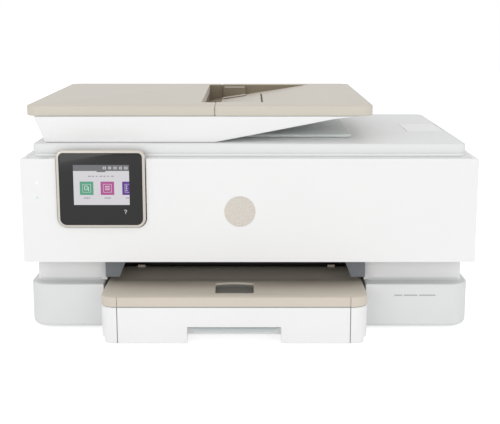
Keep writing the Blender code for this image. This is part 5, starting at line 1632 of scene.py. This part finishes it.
    def ramp(self, x: Span) -> None:
        """Makes the ramp between two ends in x, its two tabs and a black plate behind it as painted shade in
        the dark gap under the door.

        The ramp is level at the crease and rises by rise * smoothstep over its length.
        """
        rear = self.crease + self.run
        under = self.plate_low[2] + 3.2 * MM
        climb = lambda b: self.rise * smoothstep(np.clip((b - self.crease) / self.run, 0.0, 1.0))
        ramp = sheet(
            "output_tray_ramp",
            lambda a, b: self.top + 0.04 * MM + climb(b),
            np.linspace(*x, 20),
            np.linspace(self.crease, rear, 28),
            lambda a, b: np.full_like(a, under),
        )
        finish_piece(ramp, Palette.TRAY_BEIGE, "case", "output_tray")
        crest = self.top + self.rise
        depths = [(0.0, rear - 0.2 * MM), (0.0, rear - 2.4 * MM), (0.4 * MM, rear - 2.8 * MM)]
        tabs = []
        for middle in (self.low[0] + 31 * MM, self.high[0] - 29.2 * MM):
            line = rectangle(grown((middle, middle), 4 * MM), (crest - 2 * MM, crest + 2.6 * MM), 0.8 * MM, 4)
            tabs.append(slab("tab", line, depths, "Y"))
        finish_piece(joined("output_tray_tabs", tabs), Palette.TRAY_BEIGE, "case")
        # Painted shade: a black plate that stands for the dark shade under the door behind the ramp.
        throat_shade = plate(x, (self.top + 1 * MM, self.high[2] - 0.7 * MM), self.high[1] - 1 * MM, 0.5 * MM)
        throat_shade.name = "output_throat"
        finish_piece(throat_shade, Palette.BLACK, "case")

    def extender(self) -> None:
        """Makes the extender: a round-edged lip in front and the plate with the stop's seat."""
        x = (self.plate_low[0], self.plate_high[0])
        base = self.plate_low[2]
        seat = base + 3.3 * MM
        lip = rectangle((self.front, self.front + self.lip), (self.low[2] + 0.1 * MM, self.top),
                        (0.4 * MM, 0.2 * MM, 0.3 * MM, 1.2 * MM), 6)
        ends = [(0.3 * MM, x[0]), (0.0, x[0] + 0.3 * MM), (0.0, x[1] - 0.3 * MM), (0.3 * MM, x[1])]
        y = (self.front + self.lip - 0.1 * MM, self.crease - 0.4 * MM)
        outer = outline(x, y, (0.5 * MM,) * 4, 0.0, 6, 9)
        tongue = rectangle(grown(x, -2 * MM), (self.crease - 1 * MM, self.plate_high[1]), 1 * MM, 4)
        parts = [
            slab("lip", lip, ends, "X"),
            slab("bottom", lambda inset: outer, [(0.0, base), (0.0, seat)]),
            holed_plate("upper", outer, self.scoop_shade(0.1 * MM), (seat, self.top - self.skin - 0.2 * MM)),
            slab("tongue", tongue, [(0.0, base + 0.1 * MM), (0.0, base + 2.5 * MM)]),
        ]
        # Painted shade: a dark grey liner round the opening's wall, so that the beige wall looks shaded.
        brim = self.top - self.skin - 0.05 * MM
        wall = [(0.0, seat), (0.0, brim), (0.3 * MM, brim), (0.3 * MM, seat)]
        shade_liner = rim("scoop_liner", lambda inset: self.scoop_shade(0.1 * MM - inset), wall)
        finish_piece(shade_liner, Palette.SCOOP_SHADE, "tray_extender")
        whole = joined("tray_extender_plate", parts)
        finish_piece(whole, Palette.TRAY_BEIGE, "tray_extender", "tray_extender")

    def paper_stop(self) -> None:
        """Makes the stop as a dished flap that fills the finger opening, in grey plastic darkened as painted
        shade.

        Its top falls towards the back by dish * sin(v * pi / 2) for v from 0 to 1, so that a
        finger gets under the edge; the back edge arches by bow * (1 - u * u), u from -1 to 1.
        """
        low, high = span("paper_stop")
        line = self.scoop_shade(-0.5 * MM)
        middle = sum(self.stop_x) / 2
        half = np.ptp(line[:, 0]) / 2
        start = line[:, 1].min()
        length = self.scoop_depth - 1 * MM
        flap = sheet(
            "paper_stop_flap",
            lambda u, v: high[2] - self.dish * np.sin(v * QUARTER),
            np.linspace(-1, 1, 24),
            np.linspace(0, 1, 16),
            lambda u, v: np.full_like(u, low[2]),
            lambda u, v: (middle + half * u, start + v * (length + self.scoop_bow * (1 - u ** 2))),
        )
        finish_piece(flap, Palette.SCOOP_SHADE, "paper_stop", "paper_stop")

    def handle(self) -> None:
        """Makes the grip in the front's cut-out: a curled lip whose lower edge rises at both ends.

        The section is an arc from the back at the top to the front at the bottom, given thickness;
        its lower level is low + lift * smoothstep((|u| - 0.78) / 0.22) for u from -1 to 1 across.
        """
        low, high = span("tray_handle")
        height, depth, thickness, lift = self.grip
        across = np.linspace(-1, 1, 61)
        bottom = high[2] - height + lift * smoothstep(np.clip((np.abs(across) - 0.78) / 0.22, 0.0, 1.0))
        angle = np.linspace(0.0, QUARTER, 9)
        y = low[1] + 0.1 * MM + depth * (1 - np.sin(angle))
        z = high[2] + (bottom[:, None] - high[2]) * (1 - np.cos(angle))
        x = (low[0] + high[0]) / 2 + (high[0] - low[0]) / 2 * across
        face = np.stack(np.broadcast_arrays(x[:, None], y[None, :], z), axis=-1)
        rear = face[:, ::-1, :] + np.array([0.0, thickness, 0.0])
        grip = skin("tray_handle_grip", np.concatenate([face, rear], axis=1))
        finish_piece(grip, Palette.PALE_GREY, "input_tray", "tray_handle")

    def exit_guides(self) -> None:
        """Makes the two wedge-shaped sheet guides over the tray, and the jambs that carry them."""
        head, foot = self.guide_width
        waist = span("waist_frame")[0][1]
        sides = (("left", self.low[0] - 0.9 * MM, 1.0), ("right", self.high[0] + 1.9 * MM, -1.0))
        for side, outer, turn in sides:
            low, high = span(f"{side}_exit_guide")
            sill = low[2] + 1.6 * MM
            corners = [(0.0, high[2]), (0.0, sill), (foot, sill), (head, high[2])][::int(turn)]
            shape = np.array([(outer + turn * reach, z) for reach, z in corners])
            profile = [(0.0, high[1]), (0.0, low[1] + 0.5 * MM), (0.5 * MM, low[1])]
            block = slab(f"{side}_exit_guide_block", lambda inset: drawn_in(shape, inset), profile, "Y")
            finish_piece(block, Palette.SLATE, "case", f"{side}_exit_guide")
            x = sorted(outer - turn * reach for reach in (0.1 * MM, 6 * MM))
            line = rectangle(x, (low[2] - 3.8 * MM, high[2]))
            post = slab(f"{side}_jamb", line, [(0.0, waist + 9 * MM), (0.0, waist - 0.05 * MM)], "Y")
            finish_piece(post, Palette.WHITE, "case")

    def seams(self) -> None:
        """Draws the two upright seams where the tray's front panel meets its corners."""
        low, high = span("input_tray")
        z = (low[2] + 0.6 * MM, high[2] - 0.3 * MM)
        places = grown((self.plate_low[0], self.plate_high[0]), 0.15 * MM)
        lines = [plate(grown((x, x), self.seam / 2), z, low[1], 0.03 * MM) for x in places]
        finish_piece(joined("tray_front_seams", lines), Palette.SEAM, "input_tray")

    def build(self) -> None:
        """Makes the trays."""
        self.rails()
        self.cover()
        self.extender()
        self.paper_stop()
        self.handle()
        self.seams()
        soften("input_tray_shell", "input_tray", 0.6 * MM, Palette.WHITE, "input_tray")
        for node in ("left_paper_guide", "right_paper_guide", "length_guide"):
            soften(f"{node}_fence", node, 0.5 * MM, Palette.GREY, node, 2)
        self.exit_guides()


# ---- The print engine ----
@dataclass
class Engine:
    """Carriage, rollers, gears, boards and the frame that carries them.

    Attributes:
        edge: Rounding of the pieces seen through the open door.
    """

    edge: float = 0.6 * MM

    def build(self) -> None:
        """Rounds the pieces seen through the open door, and dresses the rest."""
        soften("carriage_body", "carriage", self.edge, Palette.BLACK, "carriage", 2)
        soften("black_cartridge_case", "black_cartridge", self.edge, Palette.BLACK, "carriage", 2)
        soften("color_cartridge_case", "color_cartridge", self.edge, Palette.INK_BLUE, "carriage", 2)
        soften("guide_rod_bar", "guide_rod", 0.4 * MM, Palette.STEEL, "case", 2)
        dress(Palette.STEEL, "carriage_frame", "carriage_motor")
        dress(Palette.BELT, "drive_belt")
        dress(Palette.RUBBER, "feed_roller", "exit_roller", "pickup_roller")
        dress(Palette.BLACK, "platen", "power_supply")
        dress(Palette.GREY, "service_station", "pickup_arm")
        dress(Palette.PALE_GREY, "motor_pulley", "idler_pulley", "idler_gear")
        dress(Palette.BOARD, "main_board")


def main() -> None:
    logging.basicConfig(level=logging.INFO, format="%(name)s: %(message)s")
    for kind in (Studio, Case, Flatbed, Lid, Feeder, FrontDoor, TouchPanel, PaperTrays, Engine):
        kind().build()
        LOG.info("%s built", kind.__name__)
    bpy.context.view_layer.update()


if __name__ == "__main__":
    main()
